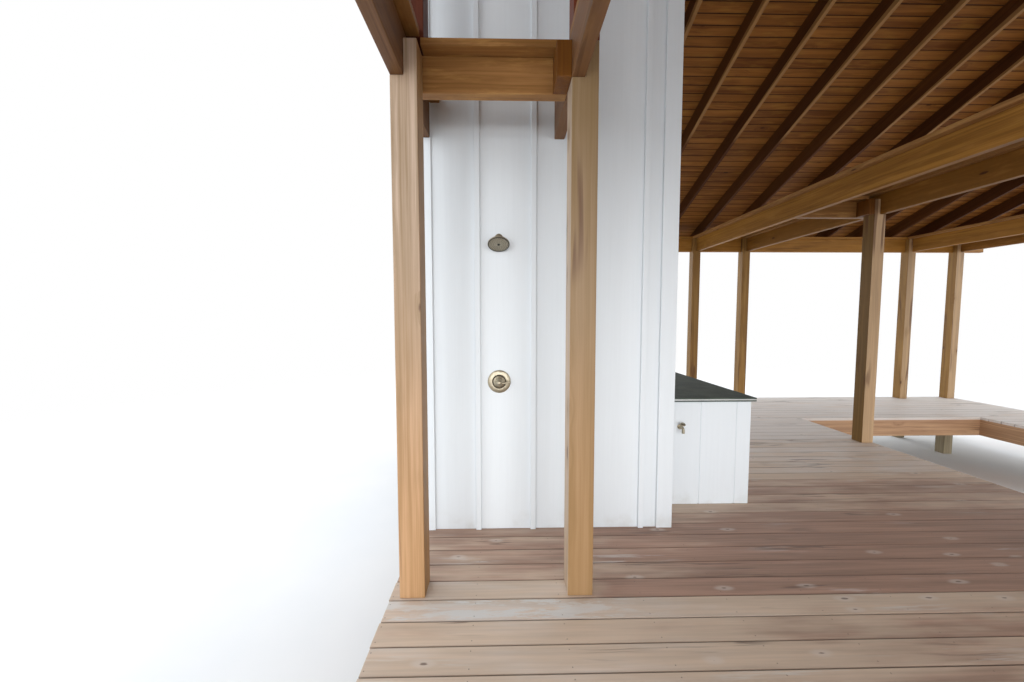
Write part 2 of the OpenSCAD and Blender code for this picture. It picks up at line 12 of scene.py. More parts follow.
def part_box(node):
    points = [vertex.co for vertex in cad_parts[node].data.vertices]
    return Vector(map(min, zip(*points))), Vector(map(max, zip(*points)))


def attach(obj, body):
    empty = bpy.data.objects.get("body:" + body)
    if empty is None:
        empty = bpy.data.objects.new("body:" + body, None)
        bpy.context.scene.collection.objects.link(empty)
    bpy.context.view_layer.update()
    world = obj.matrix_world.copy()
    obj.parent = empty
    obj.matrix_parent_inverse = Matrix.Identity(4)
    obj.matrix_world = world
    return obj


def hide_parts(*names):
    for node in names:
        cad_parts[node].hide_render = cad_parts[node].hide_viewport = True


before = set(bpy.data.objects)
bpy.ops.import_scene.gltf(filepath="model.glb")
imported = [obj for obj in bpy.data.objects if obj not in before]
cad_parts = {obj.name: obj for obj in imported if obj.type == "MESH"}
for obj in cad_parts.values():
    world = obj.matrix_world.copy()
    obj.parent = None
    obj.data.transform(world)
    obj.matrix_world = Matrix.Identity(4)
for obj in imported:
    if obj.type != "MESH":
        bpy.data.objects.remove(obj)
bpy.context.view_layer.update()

bl_info = {
    "name": "Boathouse Dressing",
    "version": (1, 0, 0),
    "blender": (4, 5, 0),
    "location": "3D View > Sidebar > Boathouse",
    "description": "Builds the visible timber, planks, siding and fittings of a packed boathouse",
    "category": "Object",
}

ALONG_X, ALONG_Y, UP = Vector((1, 0, 0)), Vector((0, 1, 0)), Vector((0, 0, 1))
SAME_CORNER = 0.00002  # corners of a CAD node that are nearer than this are one corner
HAIRLINE = 0.0002  # what a board leaves free on each side, so that neighbours don't share a face


# Shader wiring


class Wire:
    """A shader socket that adds Math nodes when it is used in Python arithmetic."""

    def __init__(self, desk, socket):
        self.desk = desk
        self.socket = socket

    def math(self, operation, *values):
        return self.desk.node("ShaderNodeMath", {"operation": operation}, dict(enumerate(values)))["Value"]

    def __add__(self, other):
        return self.math("ADD", self, other)

    def __radd__(self, other):
        return self.math("ADD", other, self)

    def __sub__(self, other):
        return self.math("SUBTRACT", self, other)

    def __rsub__(self, other):
        return self.math("SUBTRACT", other, self)

    def __mul__(self, other):
        return self.math("MULTIPLY", self, other)

    def __rmul__(self, other):
        return self.math("MULTIPLY", other, self)

    def __truediv__(self, other):
        return self.math("DIVIDE", self, other)

    def __pow__(self, other):
        return self.math("POWER", self, other)

    def __abs__(self):
        return self.math("ABSOLUTE", self)

    def root(self):
        return self.math("SQRT", self)

    def fraction(self):
        return self.math("FRACT", self)

    def largest(self, other):
        return self.math("MAXIMUM", self, other)

    def smallest(self, other):
        return self.math("MINIMUM", self, other)

    def step(self, low, high):
        """0 below low, 1 above high, smooth between them."""
        settings = {"interpolation_type": "SMOOTHSTEP"}
        values = {"Value": self, "From Min": low, "From Max": high, "To Min": 0.0, "To Max": 1.0}
        return self.desk.node("ShaderNodeMapRange", settings, values)["Result"]


class Outputs:
    """The outputs of a node, as wires by name or number."""

    def __init__(self, desk, made):
        self.desk = desk
        self.made = made

    def __getitem__(self, key):
        return Wire(self.desk, self.made.outputs[key])


class Desk:
    """Builds one material or world: nodes, their settings and the values or links of their sockets."""

    def __init__(self, owner, main="Principled BSDF"):
        owner.use_nodes = True
        self.owner = owner
        self.tree = owner.node_tree
        self.main = self.tree.nodes[main]

    def node(self, kind, settings=None, values=None):
        made = self.tree.nodes.new(kind)
        for key, value in (settings or {}).items():
            setattr(made, key, value)
        for key, value in (values or {}).items():
            self.feed(made.inputs[key], value)
        return Outputs(self, made)

    def feed(self, socket, value):
        if isinstance(value, Wire):
            self.tree.links.new(value.socket, socket)
        elif isinstance(value, (tuple, list)) and len(value) == 3 and len(socket.default_value) == 4:
            socket.default_value = (*value, 1.0)
        else:
            socket.default_value = value

    def attribute(self, name, kind="Fac"):
        return self.node("ShaderNodeAttribute", {"attribute_name": name})[kind]

    def place(self):
        return self.node("ShaderNodeTexCoord")["Object"]

    def split(self, vector):
        made = self.node("ShaderNodeSeparateXYZ", None, {"Vector": vector})
        return made["X"], made["Y"], made["Z"]

    def join(self, x, y, z):
        return self.node("ShaderNodeCombineXYZ", None, {"X": x, "Y": y, "Z": z})["Vector"]

    def noise(self, vector, scale=1.0, detail=3.0, rough=0.55):
        values = {"Vector": vector, "Scale": scale, "Detail": detail, "Roughness": rough}
        return self.node("ShaderNodeTexNoise", None, values)["Fac"]

    def spots(self, vector, low, high, dimensions="3D"):
        """Distance from the nearest scattered spot, and 1 where that spot's random number is past high."""
        cells = self.node("ShaderNodeTexVoronoi", {"voronoi_dimensions": dimensions, "feature": "F1"},
                          {"Vector": vector, "Scale": 1.0, "Randomness": 1.0})
        number = self.node("ShaderNodeSeparateColor", None, {"Color": cells["Color"]})["Red"]
        return cells["Distance"], number.step(low, high)

    def mix(self, factor, first, second):
        return self.node("ShaderNodeMix", {"data_type": "RGBA"}, {0: factor, 6: first, 7: second})[2]

    def bump(self, height, distance):
        return self.node("ShaderNodeBump", None, {"Height": height, "Distance": distance, "Strength": 1.0})["Normal"]

    def finish(self, **sockets):
        for key, value in sockets.items():
            self.feed(self.main.inputs[key.replace("_", " ")], value)
        return self.owner


# Sizes and colours


class DeckSizes(bpy.types.PropertyGroup):
    pitch: FloatProperty(name="Plank pitch", description="From one plank to the next", default=0.1473,
                         unit="LENGTH")
    gap: FloatProperty(name="Plank gap", description="Open joint between two planks", default=0.0055,
                       unit="LENGTH")
    easing: FloatProperty(name="Eased edge", description="Rounding along the edges of a plank", default=0.004,
                          unit="LENGTH")
    joint: FloatProperty(name="First joint", description="Y of one plank joint, which sets all the others",
                         default=0.506, unit="LENGTH")
    screw_step: FloatProperty(name="Screw spacing", description="From one joist's screws to the next",
                              default=0.46, unit="LENGTH")
    joist_half: FloatProperty(name="Half joist", description="From the deck's end to its first row of screws",
                              default=0.019, unit="LENGTH")


class TimberSizes(bpy.types.PropertyGroup):
    easing: FloatProperty(name="Eased edge", description="Rounding along the edges of posts and beams",
                          default=0.005, unit="LENGTH")
    thin_easing: FloatProperty(name="Eased edge of boards", description="Rounding along thin boards",
                               default=0.003, unit="LENGTH")
    lining_pitch: FloatProperty(name="Roof board pitch", description="Face width of a roof board",
                                default=0.104, unit="LENGTH")
    lining_vee: FloatProperty(name="Roof board joint", description="Bevel on each side of the joints",
                              default=0.004, unit="LENGTH")


class BoxSizes(bpy.types.PropertyGroup):
    board: FloatProperty(name="Board pitch", description="Width of the upright boards of the dock box",
                         default=0.297, unit="LENGTH")
    first: FloatProperty(name="First joint", description="From the closet side of the box to the first joint",
                         default=0.079, unit="LENGTH")
    cladding: FloatProperty(name="Board thickness", description="Thickness of the upright boards",
                            default=0.014, unit="LENGTH")
    wall: FloatProperty(name="Wall thickness", description="From the outside of the box to its hollow",
                        default=0.032, unit="LENGTH")


class FinishColours(bpy.types.PropertyGroup):
    timber_pale: FloatVectorProperty(name="Timber pale", description="Pale growth of the posts and beams",
                                     subtype="COLOR", size=3, default=(0.54, 0.405, 0.31))
    timber_deep: FloatVectorProperty(name="Timber deep", description="Dark growth of the posts and beams",
                                     subtype="COLOR", size=3, default=(0.21, 0.13, 0.05))
    roof_pale: FloatVectorProperty(name="Roof timber pale", description="Pale growth of rafters and roof boards",
                                   subtype="COLOR", size=3, default=(0.24, 0.115, 0.045))
    roof_deep: FloatVectorProperty(name="Roof timber deep", description="Dark growth of rafters and roof boards",
                                   subtype="COLOR", size=3, default=(0.10, 0.038, 0.014))
    deck_pale: FloatVectorProperty(name="Deck bleached", description="Planks in the open, bleached by the weather",
                                   subtype="COLOR", size=3, default=(0.74, 0.68, 0.635))
    deck_tan: FloatVectorProperty(name="Deck tan", description="Planks that faded to tan",
                                  subtype="COLOR", size=3, default=(0.68, 0.53, 0.405))
    deck_deep: FloatVectorProperty(name="Deck stained", description="Planks that kept their stain",
                                   subtype="COLOR", size=3, default=(0.27, 0.165, 0.12))
    # The cool tint of this white is partly painted light: the blue of light reflected off the water and the sky.
    paint: FloatVectorProperty(name="White paint", description="Paint of the closet and the dock box",
                               subtype="COLOR", size=3, default=(0.70, 0.745, 0.78))


class StageSettings(bpy.types.PropertyGroup):
    lens: FloatProperty(name="Lens", description="Focal length at a sensor 36 mm wide", default=13.198,
                        unit="CAMERA")
    eye: FloatVectorProperty(name="Eye", description="Place of the camera", subtype="TRANSLATION", size=3,
                             default=(-4.0235, -2.064, 2.304))
    turn: FloatVectorProperty(name="Turn", description="How the camera is turned", subtype="EULER", size=3,
                              default=(math.pi / 2 - 0.0607, 0.0009, -0.0201))
    key_light: FloatProperty(name="Main lamp", description="Power of the lamp on the lake side",
                             default=3500.0, unit="POWER")
    water_glow: FloatProperty(name="Water glow", description="Power of the low lamp for light off the water",
                              default=560.0, unit="POWER")
    fill_light: FloatProperty(name="Second lamp", default=620.0, unit="POWER",
                              description="Power of the slip side lamp: the side and shore lamps follow it")
    sky: FloatProperty(name="Sky", description="Strength of the even light from all round", default=1.22)


# Mesh tools


def cad_mesh(node):
    """The mesh of a CAD node, or an error that names the one that isn't there."""
    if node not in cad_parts:
        raise RuntimeError(f"The packed frame has no node {node}")
    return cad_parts[node].data


def alone(*objects):
    """Leaves only these objects selected, and makes the first one active."""
    if bpy.context.object and bpy.context.object.mode != "OBJECT":
        bpy.ops.object.mode_set(mode="OBJECT")
    bpy.ops.object.select_all(action="DESELECT")
    for item in objects:
        item.select_set(True)
    bpy.context.view_layer.objects.active = objects[0] if objects else None


def settle(item):
    """Puts the object's place into its mesh."""
    item.data.transform(item.matrix_world)
    item.matrix_world = Matrix.Identity(4)
    return item


def block(name, low, high):
    """A box between two corners, as a start for a board."""
    alone()
    low, high = Vector(low), Vector(high)
    bpy.ops.mesh.primitive_cube_add(size=1, location=(low + high) / 2)
    item = bpy.context.object
    item.name = name
    bpy.ops.object.mode_set(mode="EDIT")
    bpy.ops.mesh.select_all(action="SELECT")
    bpy.ops.transform.resize(value=high - low)
    bpy.ops.object.mode_set(mode="OBJECT")
    return settle(item)


def pick(item, kind, wanted):
    """Enters edit mode with those edges or faces selected for which wanted(middle, direction) is true."""
    alone(item)
    bpy.ops.object.mode_set(mode="EDIT")
    bpy.ops.mesh.select_mode(type=kind)
    bpy.ops.mesh.select_all(action="DESELECT")
    mesh = bmesh.from_edit_mesh(item.data)
    if kind == "EDGE":
        for edge in mesh.edges:
            a, b = edge.verts[0].co, edge.verts[1].co
            edge.select_set(bool(wanted((a + b) / 2, (b - a).normalized())))
    else:
        for face in mesh.faces:
            face.select_set(bool(wanted(face.calc_center_median(), face.normal)))
    bmesh.update_edit_mesh(item.data)


def ease_picked(width, segments):
    bpy.ops.mesh.bevel(offset=width, segments=segments, affect="EDGES")
    bpy.ops.object.mode_set(mode="OBJECT")


def ease(item, width, segments=2, angle=30.0):
    """Rounds all sharp edges with a bevel modifier and applies it."""
    alone(item)
    made = item.modifiers.new("Eased edges", "BEVEL")
    made.width = width
    made.segments = segments
    made.limit_method = "ANGLE"
    made.angle_limit = math.radians(angle)
    made.use_clamp_overlap = True
    bpy.ops.object.modifier_apply(modifier=made.name)
    return item


def node_copy(name, node):
    """A copy of a CAD node, with doubles merged and flat faces made whole."""
    item = bpy.data.objects.new(name, cad_mesh(node).copy())
    item.data.materials.clear()
    item.data.name = name
    bpy.context.scene.collection.objects.link(item)
    alone(item)
    bpy.ops.object.mode_set(mode="EDIT")
    bpy.ops.mesh.select_all(action="SELECT")
    bpy.ops.mesh.remove_doubles(threshold=SAME_CORNER)
    bpy.ops.mesh.dissolve_limited(angle_limit=math.radians(0.5))
    bpy.ops.object.mode_set(mode="OBJECT")
    return item


def joined(name, parts):
    if len(parts) > 1:
        alone(*parts)
        bpy.ops.object.join()
    parts[0].name = name
    parts[0].data.name = name
    return parts[0]


def copy_at(item, matrix):
    """A copy of a modelled piece with its own mesh, moved by matrix."""
    made = item.copy()
    made.data = item.data.copy()
    bpy.context.scene.collection.objects.link(made)
    made.data.transform(matrix)
    return made


def drop(*items):
    for item in items:
        bpy.data.objects.remove(item)


def smooth(item, angle=32.0):
    alone(item)
    bpy.ops.object.shade_smooth_by_angle(angle=math.radians(angle))
    return item


def turned(name, profile, matrix, sides=48):
    """A turned piece: a disc that is extruded and resized along the profile of (radius, height)."""
    point = 0.0002
    alone()
    radius, height = profile[0]
    bpy.ops.mesh.primitive_circle_add(vertices=sides, radius=radius, fill_type="NGON", location=(0, 0, height))
    item = bpy.context.object
    item.name = name
    settle(item)
    bpy.ops.object.mode_set(mode="EDIT")
    bpy.ops.mesh.select_all(action="SELECT")
    for (r0, z0), (r1, z1) in zip(profile, profile[1:]):
        bpy.ops.mesh.extrude_region()
        bpy.ops.transform.translate(value=(0, 0, z1 - z0))
        scale = max(r1, point) / max(r0, point)
        bpy.ops.transform.resize(value=(scale, scale, 1), center_override=(0, 0, z1))
    bpy.ops.mesh.select_all(action="SELECT")
    bpy.ops.mesh.normals_make_consistent(inside=False)
    bpy.ops.object.mode_set(mode="OBJECT")
    item.data.transform(matrix)
    return smooth(item)


def islands(mesh):
    """Lists of the vertex indices of each loose part."""
    links = [[] for _ in mesh.vertices]
    for edge in mesh.edges:
        a, b = edge.vertices
        links[a].append(b)
        links[b].append(a)
    seen = [False] * len(links)
    groups = []
    for start in range(len(links)):
        if seen[start]:
            continue
        seen[start] = True
        group, todo = [], [start]
        while todo:
            here = todo.pop()
            group.append(here)
            for other in links[here]:
                if not seen[other]:
                    seen[other] = True
                    todo.append(other)
        groups.append(group)
    return groups


def mark_grain(item, seed, axes=None, tones=None):
    """Writes, for each loose board, its own coordinates with the grain first, a random start and a tone."""
    mesh = item.data
    rng = random.Random(seed)
    count = len(mesh.vertices)
    places, starts, shades = [0.0] * (3 * count), [0.0] * count, [0.0] * count
    boards = []
    for group in islands(mesh):
        points = [mesh.vertices[i].co for i in group]
        spans = []
        for axis in axes(points) if axes else (ALONG_X, ALONG_Y, UP):
            along = [p.dot(axis) for p in points]
            spans.append((min(along), max(along), axis))
        if not axes:
            spans.sort(key=lambda span: span[0] - span[1])
        boards.append((group, spans))
    boards.sort(key=lambda board: tuple(round(sum(mesh.vertices[i].co[k] for i in board[0]) / len(board[0]), 4)
                                        for k in range(3)))
    for group, spans in boards:
        begin, shade = rng.random(), rng.random()
        if tones:
            middle = Vector((0, 0, 0))
            for i in group:
                middle += mesh.vertices[i].co
            shade = tones(middle / len(group), shade)
        for i in group:
            co = mesh.vertices[i].co
            places[3 * i:3 * i + 3] = [co.dot(axis) - (low + high) / 2 for low, high, axis in spans]
            starts[i], shades[i] = begin, shade
    mesh.attributes.new("place", "FLOAT_VECTOR", "POINT").data.foreach_set("vector", places)
    mesh.attributes.new("start", "FLOAT", "POINT").data.foreach_set("value", starts)
    mesh.attributes.new("tone", "FLOAT", "POINT").data.foreach_set("value", shades)
    return item


def show(item, finish, body="boathouse", nodes=()):
    """Gives a piece its finish, its body and the CAD nodes that it stands for."""
    item.data.materials.clear()
    item.data.materials.append(finished(finish))
    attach(item, body)
    if nodes:
        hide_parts(*nodes)
    return item


# Finishes


FINISH = {}


def finished(name):
    """A finish by its name, or an error if the finishes aren't made yet."""
    if name not in FINISH:
        raise RuntimeError(f"The finish {name} isn't made: run Finishes before the pieces")
    return FINISH[name]


def darker(colour, share):
    return tuple(c * share for c in colour)


def tinted(colour, red, green, blue):
    return colour[0] * red, colour[1] * green, colour[2] * blue


def wood(name, pale, deep, knot_colour, knots=1.0, checks=0.6, rough=0.55, tone_range=0.6, gold=None,
         gold_share=0.0, low_colour=None, joint_half=None, lit_underside=None, shine=0.5, face_colours=None):
    """Sawn timber: uneven growth rings that bend round knots, fibres, drying cracks and stain blotches."""
    rings_per_metre = 70.0
    foot_top, foot_end = 1.0, 3.1
    lit_underside_from, lit_underside_to = -0.088, -0.080
    s = Desk(bpy.data.materials.new(name))
    start, tone = s.attribute("start"), s.attribute("tone")
    u, v, w = s.split(s.attribute("place", "Vector"))
    shift = start * 31.7, (start * 57.3).fraction() * 9.0, (start * 91.1).fraction() * 7.0
    shift_u, shift_v, shift_w = shift

    def lie(along, across, first, second, third):
        """A place on the board, with a scale along its grain and across it, shifted from board to board."""
        return s.join(u * along + first, v * across + second, w * across + third)

    def grained(colour, share):
        return s.mix(shades, darker(colour, share), colour)

    fibre = s.noise(lie(2.2, 75.0, *shift), detail=4.0)
    distance, chosen = s.spots(lie(2.3, 5.4, *shift), 0.48, 0.50)
    chosen = chosen * knots
    edge = distance + (fibre - 0.5) * 0.08
    eye = (1.0 - edge.step(0.055, 0.100)) * chosen
    halo = (1.0 - edge.step(0.08, 0.34)) * chosen
    wander = s.noise(lie(0.8, 3.0, *shift))
    heart_v = (start * 13.7).fraction() * 0.16 - 0.08
    heart_w = (start * 29.3).fraction() * 0.10 + 0.03
    bend = (wander - 0.5) * 0.11 + halo * 0.035
    radius = ((v - heart_v + bend) ** 2.0 + (w + heart_w + bend) ** 2.0).root()
    ring = s.noise(s.join(radius * rings_per_metre, u * 0.25 + shift_u, shift_v), detail=2.0, rough=0.7)
    streak = s.noise(lie(0.7, 13.0, shift_w, shift_u, shift_v), detail=2.0)
    cloud = s.noise(lie(1.3, 5.0, shift_v, shift_w, shift_u), detail=2.0)
    shades = (ring * 0.55 + fibre * 0.35 + streak * 0.40 - 0.15).step(0.28, 0.74)
    body = s.mix(shades, deep, pale)
    body = s.mix(cloud.step(0.40, 0.72) * 0.35, body, deep)
    body = s.mix((tone - 0.5).largest(0.0) * (tone_range * 2.0), body, deep)
    body = s.mix((0.5 - tone).largest(0.0) * (tone_range * 2.0), body, pale)
    # partly painted light, partly stain: the foot of a post is more golden and brighter, for the light bounced up
    # off the deck and for its golden stain
    if low_colour:
        height_z = s.split(s.place())[2]
        low_down = 1.0 - (height_z + (cloud - 0.5) * 0.8).step(foot_top, foot_end)
        kept_stain = (tone - 0.5).largest(0.0).smallest(0.6)
        body = s.mix(low_down * (0.65 - kept_stain * 0.55), body, grained(low_colour, 0.70))
    if face_colours:
        # painted shade and light, with weathering: faces turned from the light take a darker colour, faces turned to
        # it and open to the lake a paler one
        weather = s.attribute("weather")
        sheltered_and_shaded, open_and_lit = face_colours
        body = s.mix((0.0 - weather).largest(0.0) * 0.8, body, grained(sheltered_and_shaded, 0.6))
        body = s.mix(weather.largest(0.0) * 0.8, body, grained(open_and_lit, 0.75))
    if gold:
        patch = s.noise(lie(3.2, 17.0, shift_v, shift_w, shift_u), detail=4.0, rough=0.6)
        body = s.mix(patch.step(0.50, 0.72) * gold_share, body, gold)
    # painted light: the lower edge of a rafter is lighter, for the light that reaches it from below
    if lit_underside:
        body = s.mix((1.0 - v.step(lit_underside_from, lit_underside_to)) * 0.85, body, lit_underside)
    body = s.mix(halo * 0.40, body, deep)
    body = s.mix(eye * 0.85, body, knot_colour)
    crack_band = abs(s.noise(lie(0.35, 9.0, shift_w, shift_w, shift_u), detail=2.0) - 0.5)
    crack_where = s.noise(lie(0.7, 2.0, shift_v, 0.0, shift_w), detail=1.0).step(0.50, 0.60)
    crack = (1.0 - crack_band.step(0.010, 0.035)) * crack_where * checks
    body = s.mix(crack * 0.75, body, knot_colour)
    if joint_half:
        joint = abs(v).step(joint_half - 0.0075, joint_half - 0.0035)
        body = s.mix(joint * 0.85, body, knot_colour)
    height = fibre * 0.5 + ring * 0.3 - crack * 2.0 - eye * 0.4
    return s.finish(Base_Color=body, Roughness=rough + (fibre - 0.5) * 0.2, Specular_IOR_Level=shine,
                    Normal=s.bump(height, 0.0006))


def deck_wood(name, pale, tan, deep, screw_step, first_screws):
    """Deck planks: stained wood that fades to tan and grey, with knots, cracks and two screws at each joist."""
    bare, knot_rim, knot_heart = (0.66, 0.65, 0.63), (0.68, 0.61, 0.55), (0.11, 0.065, 0.045)
    crack_colour, screw_colour = (0.10, 0.06, 0.045), (0.12, 0.09, 0.075)
    screw_off_middle, edge_darkening_from, edge_darkening_to = 0.045, 0.064, 0.071
    bare_row, shaded_row, closet_edge = -0.157, -0.01, -3.7
    s = Desk(bpy.data.materials.new(name))
    start, tone = s.attribute("start"), s.attribute("tone")
    u, v, w = s.split(s.attribute("place", "Vector"))
    x, y = s.split(s.place())[:2]
    shift_u, shift_v = start * 43.7, (start * 57.3).fraction() * 9.0

    def lie(along, across, first, second, third):
        """A place on the plank, with a scale along its grain and across it, shifted from plank to plank."""
        return s.join(u * along + first, v * across + second, third)

    lines = s.noise(lie(1.6, 62.0, shift_u, shift_v, w * 40.0), detail=4.0, rough=0.6)
    sweep = s.noise(lie(0.45, 13.0, shift_v, shift_u, w * 13.0))
    cloud = s.noise(lie(1.7, 9.0, shift_u, shift_v, w))
    grain = (lines * 0.65 + sweep * 0.5 - 0.08).step(0.24, 0.76)
    inner = x.step(closet_edge, -1.7) * (1.0 - y.step(0.7, 2.0))
    shaded = 1.0 - abs(y - shaded_row).step(0.070, 0.078)
    shadowed = x.step(closet_edge, -3.3) * shaded * (1.0 - x.step(0.0, 0.6))
    hue = tone + (cloud - 0.5) * 0.75 + inner * 0.30 + shadowed * 0.6
    bleached = s.mix(grain, darker(pale, 0.80), pale)
    browned = s.mix(grain, darker(tan, 0.76), tan)
    stained = s.mix(grain, darker(deep, 0.85), darker(deep, 1.75))
    body = s.mix(hue.step(0.0, 0.5), bleached, browned)
    body = s.mix(hue.step(0.5, 1.0), body, stained)
    streaks = s.noise(lie(1.1, 17.0, shift_v, shift_u, w), detail=5.0, rough=0.7).step(0.52, 0.62)
    front = (1.0 - abs(y - bare_row).step(0.060, 0.072)) * (1.0 - x.step(closet_edge, -3.0))
    worn = streaks * s.noise(lie(0.9, 2.5, shift_u, shift_v, 3.0), detail=1.0).step(0.56, 0.70)
    scuffed = s.noise(lie(2.3, 14.0, shift_v, 0.0, w), detail=6.0, rough=0.75).step(0.47, 0.56)
    body = s.mix((worn * 0.5).largest(front * scuffed * 0.85), body, bare)
    distance, chosen = s.spots(lie(2.2, 6.0, shift_u, shift_v, 0.0), 0.80, 0.82, "2D")
    edge = distance + (lines - 0.5) * 0.12 + (sweep - 0.5) * 0.10
    halo = (1.0 - edge.step(0.06, 0.16)) * chosen
    eye = (1.0 - edge.step(0.010, 0.035)) * chosen
    body = s.mix(halo * 0.42, body, knot_rim)
    body = s.mix(eye * 0.75, body, knot_heart)
    band = abs(s.noise(lie(0.5, 9.0, shift_v, shift_v, w)) - 0.5)
    where = s.noise(lie(0.9, 2.0, shift_u, 0.0, shift_v), detail=1.0).step(0.57, 0.65)
    crack = (1.0 - band.step(0.006, 0.022)) * where
    body = s.mix(crack * 0.60, body, crack_colour)
    across = abs(abs(v) - screw_off_middle)
    along = abs(((x - first_screws) / screw_step + 0.5).fraction() - 0.5) * screw_step
    screw = 1.0 - ((along ** 2.0 + across ** 2.0).root()).step(0.0020, 0.0042)
    body = s.mix(screw * 0.6, body, screw_colour)
    # darker along both long edges of each plank, next to the open joints
    edge_darkening = abs(v).step(edge_darkening_from, edge_darkening_to)
    body = s.mix(edge_darkening * 0.40, body, darker(deep, 0.4))
    height = lines * 0.6 - crack * 2.0 - screw * 2.5 - eye * 0.8
    return s.finish(Base_Color=body, Roughness=0.56 + (lines - 0.5) * 0.3, Normal=s.bump(height, 0.0006))


def painted(name, colour):
    """Brushed white paint over faint cedar grain, greyer in patches low down."""
    low_grey_colour = (0.36, 0.33, 0.28)
    deck_top, low_grey_top = 0.765, 0.93
    s = Desk(bpy.data.materials.new(name))
    x, y, z = s.split(s.place())
    side = x + y * 1.37
    lines = s.noise(s.join(side * 55.0, z * 1.3, 0.0), detail=4.0, rough=0.6)
    broad = s.noise(s.join(side * 5.0, z * 0.6, 4.0), detail=2.0)
    body = s.mix(lines.step(0.35, 0.75) * 0.10, colour, darker(colour, 0.80))
    body = s.mix(broad.step(0.4, 0.7) * 0.10, body, darker(colour, 0.86))
    # greyer in patches at the foot of the wall, fading out a little above the deck
    low_grey = (1.0 - z.step(deck_top, low_grey_top)) * s.noise(s.place(), 6.0, 4.0).step(0.40, 0.75)
    body = s.mix(low_grey * 0.35, body, low_grey_colour)
    return s.finish(Base_Color=body, Roughness=0.5 + (broad - 0.5) * 0.15,
                    Normal=s.bump(lines * 0.7 + broad * 0.3, 0.0007))


def sheet_metal(name, colour, rough=0.42):
    """Painted roofing sheet with faint waves and weather stains."""
    s = Desk(bpy.data.materials.new(name))
    x, y, z = s.split(s.place())
    wave = s.noise(s.join(x * 3.0, y * 0.7, z * 0.7), detail=2.0)
    stain = s.noise(s.join(x * 9.0, y * 1.2, z * 1.2), detail=5.0, rough=0.65)
    body = s.mix(stain.step(0.35, 0.75) * 0.5, colour, darker(colour, 0.65))
    return s.finish(Base_Color=body, Metallic=0.55, Roughness=rough + (stain - 0.5) * 0.25,
                    Normal=s.bump(wave, 0.004))


def metal(name, colour, rough, mottle=0.25, metallic=1.0):
    """Brushed or cast metal with a mottled patina."""
    s = Desk(bpy.data.materials.new(name))
    spots = s.noise(s.place(), 160.0, 4.0, 0.6)
    cloud = s.noise(s.place(), 28.0, 3.0)
    body = s.mix(spots.step(0.45, 0.75) * mottle, colour, darker(colour, 0.35))
    body = s.mix(cloud.step(0.4, 0.7) * mottle, body, darker(colour, 0.7))
    return s.finish(Base_Color=body, Metallic=metallic, Roughness=rough + (cloud - 0.5) * 0.2,
                    Normal=s.bump(spots, 0.0002))


def lid_cover(name):
    """Dark membrane on the lid, dusty and slightly pebbled."""
    s = Desk(bpy.data.materials.new(name))
    grit = s.noise(s.place(), 420.0, 3.0, 0.7)
    dust = s.noise(s.place(), 5.0, 5.0, 0.6)
    body = s.mix(dust.step(0.35, 0.7), (0.045, 0.062, 0.052), (0.080, 0.105, 0.085))
    body = s.mix(grit.step(0.5, 0.8) * 0.3, body, (0.16, 0.17, 0.16))
    return s.finish(Base_Color=body, Roughness=0.72 + (dust - 0.5) * 0.2, Specular_IOR_Level=0.12,
                    Normal=s.bump(grit, 0.0006))


